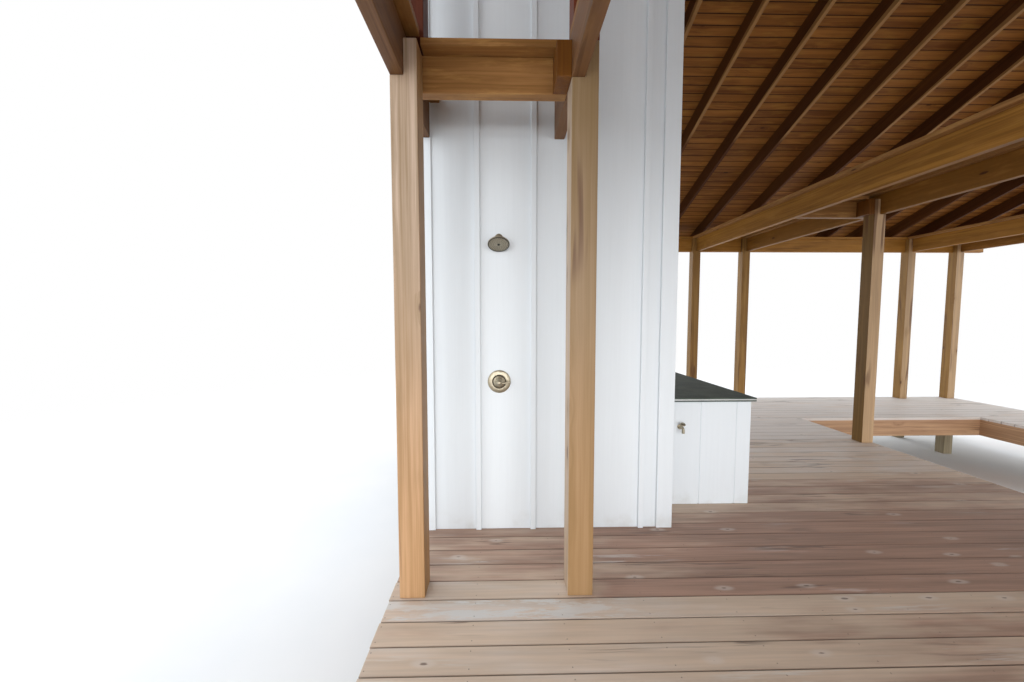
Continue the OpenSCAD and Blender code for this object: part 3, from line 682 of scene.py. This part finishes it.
class BOATHOUSE_OT_finishes(bpy.types.Operator):
    """Makes the wood, paint and metal finishes from the colours in the panel"""

    bl_idname = "boathouse.finishes"
    bl_label = "Finishes"

    KNOT = (0.085, 0.030, 0.012)

    def execute(self, context):
        colours = context.scene.boathouse_colours
        self.post_and_beam_woods(Vector(colours.timber_pale), Vector(colours.timber_deep))
        self.roof_woods(Vector(colours.roof_pale), Vector(colours.roof_deep),
                        context.scene.boathouse_timber.lining_pitch / 2)
        deck = context.scene.boathouse_deck
        FINISH["deck"] = deck_wood("Weathered deck planks", tuple(colours.deck_pale), tuple(colours.deck_tan),
                                   tuple(colours.deck_deep), deck.screw_step,
                                   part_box("main_deck")[0].x + deck.joist_half)
        FINISH["paint"] = painted("White painted boards", tuple(colours.paint))
        FINISH["roofing"] = sheet_metal("Bronze roofing sheet", (0.085, 0.062, 0.050))
        FINISH["nickel"] = metal("Brushed nickel", (0.44, 0.395, 0.30), 0.42)
        FINISH["dark_metal"] = metal("Cast hinge metal", (0.10, 0.10, 0.095), 0.45)
        FINISH["strip"] = metal("Metal edge strip", (0.50, 0.52, 0.52), 0.35, mottle=0.12)
        FINISH["lid"] = lid_cover("Dark lid membrane")
        # This dark rubber also fills the sunk ring of the valve, as painted shade.
        FINISH["rubber"] = metal("Nozzle rubber and groove shade", (0.02, 0.02, 0.018), 0.7, metallic=0.0)
        return {"FINISHED"}

    def post_and_beam_woods(self, pale, deep):
        FINISH["timber"] = wood("Bleached post timber", tuple(pale), tuple(deep), self.KNOT, checks=0.9,
                                low_colour=tinted(pale, 1.00, 0.68, 0.31),
                                face_colours=((0.34, 0.17, 0.045), (0.55, 0.42, 0.31)))
        FINISH["post"] = wood("Golden post timber", (0.42, 0.24, 0.070), (0.21, 0.105, 0.026), self.KNOT,
                              checks=0.9, shine=0.25, face_colours=((0.19, 0.10, 0.022), (0.56, 0.385, 0.23)))
        FINISH["beam"] = wood("Stained beam timber", (0.43, 0.215, 0.075), (0.20, 0.09, 0.022),
                              (0.05, 0.02, 0.008), gold=(0.50, 0.265, 0.08), gold_share=0.55, checks=0.4,
                              shine=0.25)
        FINISH["near_beam"] = wood("Shaded beam timber", (0.20, 0.095, 0.038), (0.085, 0.034, 0.011),
                                   (0.03, 0.012, 0.006), gold=(0.25, 0.125, 0.04), gold_share=0.35,
                                   checks=0.4, shine=0.3)
        FINISH["warm_beam"] = wood("Orange beam timber", (0.43, 0.20, 0.036), (0.20, 0.084, 0.012),
                                   (0.06, 0.02, 0.008), gold=(0.46, 0.215, 0.05), gold_share=0.35,
                                   checks=0.4, shine=0.2)
        FINISH["pile"] = wood("Treated pile timber", (0.42, 0.35, 0.23), (0.20, 0.155, 0.09),
                              (0.06, 0.045, 0.03), rough=0.75)
        FINISH["edge"] = wood("Deck edge timber", (0.62, 0.39, 0.22), (0.34, 0.185, 0.10), self.KNOT,
                              tone_range=0.3)

    def roof_woods(self, pale, deep, joint_half):
        FINISH["block"] = wood("Brown block timber", tinted(pale, 0.85, 0.65, 0.18), tinted(deep, 1.0, 0.9, 0.45),
                               self.KNOT, knots=0.5, checks=0.3, shine=0.2)
        FINISH["roof"] = wood("Dark roof timber", tinted(pale, 0.62, 0.50, 0.36), tuple(deep * 0.72), self.KNOT,
                              knots=0.8, checks=0.3, shine=0.2)
        FINISH["rafter"] = wood("Rafter timber", tinted(pale, 0.50, 0.38, 0.24), tinted(deep, 0.6, 0.5, 0.4),
                                self.KNOT, knots=0.8, checks=0.3, lit_underside=(0.36, 0.19, 0.07), shine=0.15)
        FINISH["king"] = wood("Red brown timber", tinted(pale, 0.62, 0.28, 0.28), tinted(deep, 0.7, 0.4, 0.4),
                              self.KNOT, knots=0.8, checks=0.3, shine=0.25)
        FINISH["lining"] = wood("Roof board timber", tinted(pale, 1.50, 1.27, 0.68), tinted(deep, 1.30, 1.12, 0.62),
                                (0.022, 0.007, 0.002), knots=0.8, checks=0.0, tone_range=0.38,
                                gold=(0.42, 0.215, 0.04), gold_share=0.30, joint_half=joint_half, shine=0.15)


# Timber


def slanted_axes(points):
    """Axes for a board that slopes in the YZ plane: grain down the slope, then depth, then thickness."""
    xs = [p.x for p in points]
    low = min(points, key=lambda p: (round(p.z, 3), p.y))
    high = max(points, key=lambda p: (round(p.z, 3), p.y))
    run = Vector((0, high.y - low.y, high.z - low.z))
    if run.length < (max(xs) - min(xs)):
        return ALONG_X, ALONG_Y, UP
    run.normalize()
    return run, Vector((0, -run.z, run.y)) * math.copysign(1.0, run.y), ALONG_X


class BOATHOUSE_OT_timber(bpy.types.Operator):
    """Eased copies of the posts, beams, caps and roof timbers, each with its own grain"""

    bl_idname = "boathouse.timber"
    bl_label = "Posts, beams and roof timbers"

    def execute(self, context):
        sizes = context.scene.boathouse_timber
        thick, thin = sizes.easing, sizes.thin_easing
        rows = [
            ("left_posts", "timber", thick),
            ("center_posts", "post", thick),
            ("right_posts", "post", thick),
            ("left_beams", "near_beam", thick),
            ("center_beams", "warm_beam", thick),
            ("right_beams", "warm_beam", thick),
            ("beam_caps", "beam", thin),
            ("cross_beams", "beam", thick),
            ("cross_caps", "beam", thin),
            ("beam_blocks", "block", thin),
            ("eave_caps", "warm_beam", thin),
            ("back_eave_beam", "warm_beam", thick),
            ("front_eave_beam", "warm_beam", thick),
            ("king_posts", "king", thin),
            ("ridge_beam", "roof", thick),
            ("back_rafters", "rafter", thin),
            ("front_rafters", "rafter", thin),
            ("eave_boards", "roof", thin),
            ("barge_boards", "roof", thin),
            ("piles", "pile", thick),
            ("deck_girders", "pile", thin),
            ("deck_joists", "pile", thin),
            ("deck_fascia", "edge", thin),
        ]
        axes_rules = {node: slanted_axes for node in ("back_rafters", "front_rafters", "barge_boards")}
        tone_rules = {"left_posts": self.post_tone, "center_beams": self.beam_tone}
        first_seed = 100
        for number, (node, finish, easing) in enumerate(rows):
            item = ease(node_copy(node + "_sawn", node), easing)
            mark_grain(item, first_seed + number, axes_rules.get(node), tone_rules.get(node))
            if node in ("left_posts", "center_posts", "right_posts"):
                self.mark_weather_and_light(item)
            show(item, finish, nodes=[node])
        return {"FINISHED"}

    @staticmethod
    def post_tone(middle, shade):
        """The outer posts are bleached, and the inner ones kept more of their stain."""
        return 0.30 + 0.15 * shade if middle.x < -4.0 else 1.05 + 0.1 * shade

    @staticmethod
    def beam_tone(middle, shade):
        """The beam on the slip side of the middle line kept the darkest stain."""
        return 0.35 + 0.2 * shade if middle.x < 0.0 else 1.1 + 0.1 * shade

    @staticmethod
    def mark_weather_and_light(item):
        """Writes how open each post face is to the lake and to the light: below nought the face is painted as kept
        from the weather and in shade, above nought as bleached and lit.
        """
        outer, inner, middle_row_end = 4.0, 2.0, 3.8
        values = []
        for face in item.data.polygons:
            x, y = face.center.x, face.center.y
            nx, ny = face.normal.x, face.normal.y
            value = 0.0
            if x < -outer and nx > 0.5:
                value = -1.0
            elif -outer < x < -inner and nx < -0.5:
                value = 1.0
            elif -inner < x < inner and y < middle_row_end:
                value = -1.0 if nx < -0.5 else 1.0 if ny < -0.5 else 0.0
            elif x > inner and ny < -0.5:
                value = 0.8
            values.append(value)
        item.data.attributes.new("weather", "FLOAT", "FACE").data.foreach_set("value", values)


# Deck


class BOATHOUSE_OT_deck(bpy.types.Operator):
    """Deck planks with open joints, laid along the ridge on every part of the deck"""

    bl_idname = "boathouse.deck"
    bl_label = "Deck planks"

    END_PLAY = 0.006  # how far back from the deck's end a plank may stop
    END_GAP = 0.001  # left free by each plank where two meet end to end
    CUPPING = 0.004  # largest tilt of a plank, in radians
    SINKING = 0.0012  # how far below the others a plank may lie
    SLIVER = 0.03  # a narrower row isn't laid

    def execute(self, context):
        sizes = context.scene.boathouse_deck
        low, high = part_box("main_deck")
        slip_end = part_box("back_walkway")[0].y
        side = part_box("side_walkway")
        rng = random.Random(41)
        thick, width = high.z - low.z, sizes.pitch - sizes.gap
        blanks = {}
        parts = []
        for a, b in self.rows(low.y, high.y, slip_end, sizes):
            if (a + b) / 2 < slip_end:
                runs = [(low.x, high.x), (side[0].x, side[1].x)]
            else:
                cut = low.x + sizes.screw_step * rng.choice((8, 10, 12)) + sizes.joist_half
                runs = [(low.x, cut), (cut, side[1].x)]
            for x0, x1 in runs:
                inset = rng.uniform(0.0, self.END_PLAY)
                length = round(x1 - x0 - inset - 2 * self.END_GAP, 4)
                if length not in blanks:
                    blanks[length] = self.plank(length, width, thick, sizes.easing)
                left = x0 + (inset if x0 == low.x else self.END_GAP)
                turn = Matrix.Rotation(rng.uniform(-self.CUPPING, self.CUPPING), 4, "X")
                top = high.z - rng.uniform(0.0, self.SINKING)
                matrix = (Matrix.Translation((left, (a + b) / 2, top))
                          @ Matrix.Diagonal((1, (b - a) / width, 1, 1)) @ turn)
                part = copy_at(blanks[length], matrix)
                for vertex in part.data.vertices:
                    vertex.co.z = min(vertex.co.z, high.z)
                parts.append(part)
        drop(*blanks.values())
        item = joined("deck_planks", parts)
        mark_grain(item, 60, lambda points: (ALONG_X, ALONG_Y, UP), self.plank_tone)
        show(item, "deck", nodes=["main_deck", "back_walkway", "side_walkway"])
        return {"FINISHED"}

    @staticmethod
    def plank(length, width, thick, easing):
        """One plank, its underside left square: the copies are set down from it."""
        item = block("plank_blank", (0, -width / 2, -thick), (length, width / 2, 0))
        pick(item, "EDGE", lambda middle, way: middle.z > -0.001 or abs(way.z) > 0.9)
        ease_picked(easing, 2)
        return item

    def rows(self, start, end, slip_end, sizes):
        """Front and back edge of each row of planks, with a joint at the shore end of the slip."""
        first = math.ceil((start - sizes.joint) / sizes.pitch)
        last = math.floor((end - sizes.joint) / sizes.pitch)
        joints = [sizes.joint + sizes.pitch * i for i in range(first, last + 1)]
        joints = [start] + [y for y in joints if abs(y - slip_end) > self.SLIVER] + [end, slip_end]
        joints.sort()
        half = sizes.gap / 2
        return [(a + (half if a > start else 0.0), b - (half if b < end else 0.0))
                for a, b in zip(joints, joints[1:]) if b - a > self.SLIVER]

    @staticmethod
    def plank_tone(middle, shade):
        """Planks beside the closet kept their stain, those in front turned tan, and the far ones bleached."""
        for start, tone, spread in ((2.6, 0.00, 0.12), (1.6, 0.15, 0.25), (0.66, 0.45, 0.32), (0.05, 0.62, 0.28),
                                    (-0.09, 0.34, 0.10)):
            if middle.y > start:
                return tone + spread * shade
        return 0.28 + 0.24 * shade


# Roof


class BOATHOUSE_OT_lining(bpy.types.Operator):
    """Roof boards with bevelled joints, laid along the ridge over the rafters"""

    bl_idname = "boathouse.lining"
    bl_label = "Roof boards"

    END_GAP = 0.0006  # left free at each end of a roof board
    LEVEL = 0.0001  # corners of the slab that differ less lie at one distance from the ridge

    def execute(self, context):
        sizes = context.scene.boathouse_timber
        inner = self.rafter_centres()[2:-2]
        half = len(inner) // 2
        for number, (node, side) in enumerate((("back_roof_boards", 1), ("front_roof_boards", -1))):
            low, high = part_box(node)
            near, top_near, down, length, out, thick = self.slope(node, side)
            rows = round(length / sizes.lining_pitch)
            pitch = length / rows
            axes = Matrix((ALONG_X, down, out)).transposed().to_4x4()
            rng = random.Random(80 + number)
            parts = []
            blanks = {}
            for row in range(rows):
                cuts = [rng.choice(inner[:half - 1]), rng.choice(inner[half + 1:])]
                ends = [low.x] + cuts + [high.x]
                for a, b in zip(ends, ends[1:]):
                    span = round(b - a, 3)
                    if span not in blanks:
                        blanks[span] = self.board(span, pitch, thick, sizes.lining_vee)
                    origin = Vector((a + self.END_GAP, side * near, top_near)) + down * (row * pitch)
                    parts.append(copy_at(blanks[span], Matrix.Translation(origin) @ axes))
            drop(*blanks.values())
            item = joined(node + "_laid", parts)
            if side < 0:
                item.data.flip_normals()
            mark_grain(item, 90 + number, lambda points, way=down, face=out: (ALONG_X, way, face))
            show(item, "lining", nodes=[node])
        return {"FINISHED"}

    def slope(self, node, side):
        """Of one side of the roof: start from the ridge, height there, way down, length, way out, thickness."""
        verts = [v.co for v in cad_mesh(node).vertices]
        near = min(abs(v.y) for v in verts)
        far = max(abs(v.y) for v in verts)
        at_ridge = [v.z for v in verts if abs(abs(v.y) - near) < self.LEVEL]
        top_near = max(at_ridge)
        top_far = max(v.z for v in verts if abs(abs(v.y) - far) < self.LEVEL)
        down = Vector((0, side * (far - near), top_far - top_near))
        length = down.length
        down.normalize()
        out = ALONG_X.cross(down) * (1 if side < 0 else -1)
        if out.z < 0:
            out = -out
        return near, top_near, down, length, out, (top_near - min(at_ridge)) * out.z

    def board(self, span, pitch, thick, vee):
        """One roof board, bevelled along the two edges that show from below."""
        blank = block("lining_blank", (0, HAIRLINE, -thick), (span - 2 * self.END_GAP, pitch - HAIRLINE, 0))
        pick(blank, "EDGE", lambda middle, way: middle.z < -thick + 0.001 and abs(way.x) > 0.9)
        ease_picked(vee, 1)
        return blank

    @staticmethod
    def rafter_centres():
        """X of the middle of each rafter, where the ends of roof boards meet."""
        guide = node_copy("rafter_guide", "back_rafters")
        points = guide.data.vertices
        centres = sorted({round(sum(points[i].co.x for i in group) / len(group), 3)
                          for group in islands(guide.data)})
        drop(guide)
        return centres


class BOATHOUSE_OT_roofing(bpy.types.Operator):
    """Finish of the standing seam roofing and its ridge cap"""

    bl_idname = "boathouse.roofing"
    bl_label = "Roofing"

    def execute(self, context):
        for node in ("back_roofing", "front_roofing", "ridge_cap"):
            item = ease(node_copy(node + "_formed", node), 0.0012, 1)
            show(item, "roofing", nodes=[node])
        return {"FINISHED"}


# Closet


class BOATHOUSE_OT_closet(bpy.types.Operator):
    """White walls, battens, corner boards and the closet door with its knob and hinges"""

    bl_idname = "boathouse.closet"
    bl_label = "Closet"

    def execute(self, context):
        easing = context.scene.boathouse_timber.thin_easing
        for node in ("closet_front_wall", "closet_back_wall", "closet_left_wall", "closet_right_wall"):
            cad_mesh(node).materials.clear()
            cad_mesh(node).materials.append(finished("paint"))
        for node in ("closet_battens", "corner_boards", "door_casing", "closet_door"):
            item = ease(node_copy(node + "_eased", node), easing)
            show(item, "paint", nodes=[node])
        low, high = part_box("closet_door")
        knob_in, knob_up = 0.07, 0.95
        self.knob(Vector((low.x + knob_in, high.y, low.z + knob_up)))
        self.hinges(low, high)
        return {"FINISHED"}

    @staticmethod
    def knob(place):
        out = Matrix.Rotation(-math.pi / 2, 4, "X")
        profile = [(0.033, 0), (0.033, 0.004), (0.024, 0.008), (0.011, 0.012), (0.011, 0.034), (0.021, 0.040),
                   (0.027, 0.050), (0.026, 0.060), (0.016, 0.067), (0.0, 0.069)]
        show(turned("closet_door_knob", profile, Matrix.Translation(place) @ out, 32), "nickel")

    @staticmethod
    def hinges(low, high):
        """Three butt hinges along the hinged edge of the door."""
        profile = [(0.0, 0), (0.006, 0.0008), (0.006, 0.09), (0.0045, 0.093), (0.0, 0.095)]
        leaf_width, leaf_thick, leaf_low, leaf_high = 0.030, 0.0025, 0.002, 0.090
        parts = []
        for height in (0.22, 1.02, 1.80):
            foot = low.z + height
            pin = turned("hinge_pin", profile, Matrix.Translation((high.x + 0.002, high.y + 0.006, foot)), 16)
            leaf = block("hinge_leaf", (high.x - leaf_width, high.y, foot + leaf_low),
                         (high.x, high.y + leaf_thick, foot + leaf_high))
            parts += [pin, ease(leaf, 0.0008, 1)]
        show(joined("closet_door_hinges", parts), "dark_metal")


# Shower


class BOATHOUSE_OT_shower(bpy.types.Operator):
    """Shower head with its bent arm and nozzles, the valve plate and the lever"""

    bl_idname = "boathouse.shower"
    bl_label = "Shower"

    HEAD_TILT = math.radians(30)
    HEAD_DEPTH = 0.054  # from the back of the head to its face
    RIM_DEPTH = 0.004  # the corners of the face lie within this

    def execute(self, context):
        for node, name, body in (("shower_head", "shower_head_fitting", "boathouse"),
                                 ("shower_valve", "shower_valve_plate", "boathouse"),
                                 ("shower_lever", "shower_lever_handle", "lever")):
            item = smooth(ease(node_copy(name, node), 0.0008, 1, 40.0), 40.0)
            show(item, "nickel", body=body, nodes=[node])
        self.nozzles()
        return {"FINISHED"}

    def nozzles(self):
        """Rings of rubber nozzles on the face of the shower head."""
        verts = [v.co for v in cad_mesh("shower_head").vertices]
        face = Vector((0, -math.sin(self.HEAD_TILT), -math.cos(self.HEAD_TILT)))
        reach = max(v.dot(face) for v in verts)
        rim = [v for v in verts if v.dot(face) > reach - self.RIM_DEPTH]
        centre = sum(rim, Vector()) / len(rim)
        side, other = ALONG_X, face.cross(ALONG_X)
        blank = turned("nozzle", [(0.0029, 0), (0.0023, 0.0018), (0.0, 0.0024)], Matrix.Identity(4), 8)
        parts = []
        turn = face.to_track_quat("Z", "X").to_matrix().to_4x4()
        lift = reach - centre.dot(face)
        for radius, count, sunk in ((0.012, 6, 0.0022), (0.024, 12, 0.0022), (0.036, 18, 0.0022),
                                    (0.048, 24, 0.0022), (0.059, 30, 0.0010)):
            for i in range(count):
                angle = 2 * math.pi * i / count + radius * 9
                spot = (centre + side * math.cos(angle) * radius + other * math.sin(angle) * radius
                        + face * (lift - sunk))
                parts.append(copy_at(blank, Matrix.Translation(spot) @ turn))
        drop(blank)
        show(joined("shower_head_nozzles", parts), "rubber")
        self.rubber_and_groove_shade(Matrix.Translation(centre + face * (lift - self.HEAD_DEPTH)) @ turn)

    @staticmethod
    def rubber_and_groove_shade(head):
        """Dark rubber: the ring round the face of the head and its middle screw; and painted shade: a dark ring that
        fills the sunk ring of the valve.
        """
        low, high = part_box("shower_valve")
        plate = (Matrix.Translation(((low.x + high.x) / 2, high.y, (low.z + high.z) / 2))
                 @ Matrix.Rotation(math.radians(90), 4, "X"))
        face_ring = [(0.0728, 0.050), (0.0728, 0.0546), (0.0668, 0.0548), (0.0668, 0.0504)]
        face_screw = [(0.0085, 0.052), (0.0085, 0.0548), (0.005, 0.0565), (0.0, 0.057)]
        # painted shade: this dark ring fills the sunk ring of the valve, where shade falls in the groove
        valve_ring = [(0.0467, 0.0065), (0.0467, 0.0107), (0.0433, 0.0107), (0.0433, 0.007)]
        parts = [
            turned("face_ring", face_ring, head, 64),
            turned("face_screw", face_screw, head, 16),
            turned("valve_ring", valve_ring, plate, 64),
        ]
        show(joined("shower_seals", parts), "rubber")


# Dock box


class BOATHOUSE_OT_dock_box(bpy.types.Operator):
    """Dock box of upright boards with its lid, edge strip, hinges and hose tap"""

    bl_idname = "boathouse.dock_box"
    bl_label = "Dock box"

    LINER_DROP = 0.001  # how far below the boards' top the liner ends
    NARROWEST = 0.03  # a narrower board isn't cut

    def execute(self, context):
        self.box(context.scene.boathouse_box)
        self.lid()
        for node, finish in (("lid_pin", "dark_metal"), ("hose_bibb", "nickel")):
            piece = smooth(ease(node_copy(node + "_cast", node), 0.0006, 1, 40.0), 40.0)
            show(piece, finish, nodes=[node])
        return {"FINISHED"}

    def box(self, sizes):
        """Upright boards on four sides round an open liner."""
        low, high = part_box("dock_box")
        skin = sizes.cladding
        parts = []
        joints = [low.x]
        x = low.x + sizes.first
        while x < high.x - self.NARROWEST:
            joints.append(x)
            x += sizes.board
        joints.append(high.x)
        for y0, y1 in ((low.y, low.y + skin), (high.y - skin, high.y)):
            for a, b in zip(joints, joints[1:]):
                parts.append(self.board((a + HAIRLINE, y0, low.z), (b - HAIRLINE, y1, high.z)))
        count = round((high.y - low.y - 2 * skin) / sizes.board)
        step = (high.y - low.y - 2 * skin) / count
        for x0, x1 in ((low.x, low.x + skin), (high.x - skin, high.x)):
            for i in range(count):
                y = low.y + skin + i * step
                parts.append(self.board((x0, y + HAIRLINE, low.z), (x1, y + step - HAIRLINE, high.z)))
        top = high.z - self.LINER_DROP
        inner = block("liner", (low.x + skin, low.y + skin, low.z), (high.x - skin, high.y - skin, top))
        pick(inner, "FACE", lambda middle, normal: normal.z > 0.9)
        bpy.ops.mesh.inset(thickness=sizes.wall - skin, depth=0)
        bpy.ops.mesh.extrude_region()
        bpy.ops.transform.translate(value=(0, 0, low.z + sizes.wall - top))
        bpy.ops.object.mode_set(mode="OBJECT")
        parts.append(inner)
        show(joined("dock_box_boards", parts), "paint", nodes=["dock_box"])

    @staticmethod
    def board(low, high):
        return ease(block("box_board", low, high), 0.0045, 1)

    @staticmethod
    def lid():
        """The covered lid and the metal strip round its free end."""
        low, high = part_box("box_lid")
        item = ease(node_copy("box_lid_cover", "box_lid"), 0.003, 2, 50.0)
        show(item, "lid", body="lid", nodes=["box_lid"])
        flat = max(v.co.x for v in cad_mesh("box_lid").vertices)
        length, thick, below_top, height = 0.80, 0.0016, 0.009, 0.011
        start, z1 = flat - length, high.z - below_top
        z0 = z1 - height
        strips = [
            block("strip", (start, low.y - thick, z0), (flat, low.y, z1)),
            block("strip", (start, high.y, z0), (flat, high.y + thick, z1)),
            block("strip", (flat, low.y - thick, z0), (flat + thick, high.y + thick, z1)),
        ]
        strip = ease(joined("box_lid_strip", strips), 0.0006, 1)
        show(strip, "strip", body="lid")


# Stage


class BOATHOUSE_OT_stage(bpy.types.Operator):
    """Pale floor, even sky light, five soft lamps and the camera"""

    bl_idname = "boathouse.stage"
    bl_label = "Stage"

    def execute(self, context):
        settings = context.scene.boathouse_stage
        scene = context.scene
        self.floor()
        scene.camera = self.camera(settings)
        fill = settings.fill_light
        for name, place, target, size, power in (
                ("Lake side lamp", (-3.5, -20.0, 5.8), (-3.0, 0.5, 1.6), (24.0, 6.0), settings.key_light),
                ("Water glow", (-3.5, -15.0, 0.9), (-3.0, 0.5, 3.6), (20.0, 1.4), settings.water_glow),
                ("Side lamp", (-16.0, 0.0, 5.0), (-3.0, 0.5, 1.5), (12.0, 6.0), fill * 0.45),
                ("Shore side lamp", (0.0, 18.0, 4.4), (0.0, 2.0, 1.0), (20.0, 6.0), fill * 1.3),
                ("Slip side lamp", (16.0, -1.0, 5.0), (0.0, 1.0, 1.5), (12.0, 6.0), fill)):
            self.lamp(name, place, target, size, power)
        scene.world = self.sky(settings.sky)
        scene.view_settings.view_transform = "Standard"
        return {"FINISHED"}

    @staticmethod
    def floor():
        """A wide plane just under the feet of the piles, which fades into the white background."""
        width, under, fade_from, fade_to = 160, 0.002, 7.5, 17.0
        alone()
        bpy.ops.mesh.primitive_plane_add(size=width, location=(0, 0, -under))
        item = bpy.context.object
        item.name = "studio_floor"
        settle(item)
        s = Desk(bpy.data.materials.new("Pale floor"))
        dust = s.noise(s.place(), 0.7, 3.0)
        body = s.mix(dust.step(0.3, 0.7), (0.84, 0.85, 0.86), (0.88, 0.88, 0.88))
        x, y = s.split(s.place())[:2]
        reach = (x ** 2.0 + y ** 2.0).root()
        solid = 1.0 - reach.step(fade_from, fade_to)
        item.data.materials.append(s.finish(Base_Color=body, Roughness=0.9, Alpha=solid))

    @staticmethod
    def camera(settings):
        data = bpy.data.cameras.new("Photo view")
        data.lens = settings.lens
        data.sensor_fit = "HORIZONTAL"
        data.sensor_width = 36.0
        data.clip_start = 0.02
        data.clip_end = 500.0
        camera = bpy.data.objects.new("Photo view", data)
        bpy.context.scene.collection.objects.link(camera)
        camera.location = settings.eye
        camera.rotation_euler = settings.turn
        return camera

    @staticmethod
    def lamp(name, place, target, size, power):
        data = bpy.data.lights.new(name, "AREA")
        data.shape = "RECTANGLE"
        data.size, data.size_y = size
        data.energy = power
        lamp = bpy.data.objects.new(name, data)
        bpy.context.scene.collection.objects.link(lamp)
        lamp.location = place
        lamp.rotation_euler = (Vector(target) - Vector(place)).to_track_quat("-Z", "Y").to_euler()

    @staticmethod
    def sky(strength):
        """Even light that the camera and the gloss see as white."""
        world = bpy.data.worlds.new("Studio sky")
        s = Desk(world, "Background")
        s.finish(Color=(0.90, 0.95, 1.0), Strength=strength)
        white = s.node("ShaderNodeBackground", None, {"Color": (1.0, 1.0, 1.0), "Strength": 1.0})
        rays = s.node("ShaderNodeLightPath")
        seen = rays["Is Camera Ray"].largest(rays["Is Glossy Ray"])
        light = s.node("ShaderNodeMixShader", None, {0: seen, 1: Outputs(s, s.main)[0], 2: white[0]})[0]
        s.feed(s.tree.nodes["World Output"].inputs["Surface"], light)
        return world


# Panel


PIECES = (BOATHOUSE_OT_timber, BOATHOUSE_OT_deck, BOATHOUSE_OT_lining, BOATHOUSE_OT_roofing, BOATHOUSE_OT_closet,
          BOATHOUSE_OT_shower, BOATHOUSE_OT_dock_box, BOATHOUSE_OT_stage)
SETTINGS = {"boathouse_deck": DeckSizes, "boathouse_timber": TimberSizes, "boathouse_box": BoxSizes,
            "boathouse_colours": FinishColours, "boathouse_stage": StageSettings}


class BOATHOUSE_PT_panel(bpy.types.Panel):
    """Lists the pieces of the boathouse and their sizes"""

    bl_idname = "BOATHOUSE_PT_panel"
    bl_label = "Boathouse"
    bl_space_type = "VIEW_3D"
    bl_region_type = "UI"
    bl_category = "Boathouse"

    def draw(self, context):
        layout = self.layout
        for item in (BOATHOUSE_OT_finishes, *PIECES):
            layout.operator(item.bl_idname)
        for name in SETTINGS:
            group = getattr(context.scene, name)
            box = layout.box()
            for key in type(group).__annotations__:
                box.prop(group, key)


CLASSES = (*SETTINGS.values(), BOATHOUSE_OT_finishes, *PIECES, BOATHOUSE_PT_panel)


def register():
    for item in CLASSES:
        bpy.utils.register_class(item)
    for name, group in SETTINGS.items():
        setattr(bpy.types.Scene, name, PointerProperty(type=group))


def unregister():
    for name in SETTINGS:
        delattr(bpy.types.Scene, name)
    for item in reversed(CLASSES):
        bpy.utils.unregister_class(item)


def clear_start_objects():
    """Removes the cube, lamp and camera of Blender's start file."""
    for name in ("Cube", "Light", "Camera"):
        if name in bpy.data.objects:
            drop(bpy.data.objects[name])


def main():
    register()
    clear_start_objects()
    bpy.ops.boathouse.finishes()
    bpy.ops.boathouse.timber()
    bpy.ops.boathouse.deck()
    bpy.ops.boathouse.lining()
    bpy.ops.boathouse.roofing()
    bpy.ops.boathouse.closet()
    bpy.ops.boathouse.shower()
    bpy.ops.boathouse.dock_box()
    bpy.ops.boathouse.stage()
    bpy.context.view_layer.update()
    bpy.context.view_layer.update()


if __name__ == "__main__":
    main()
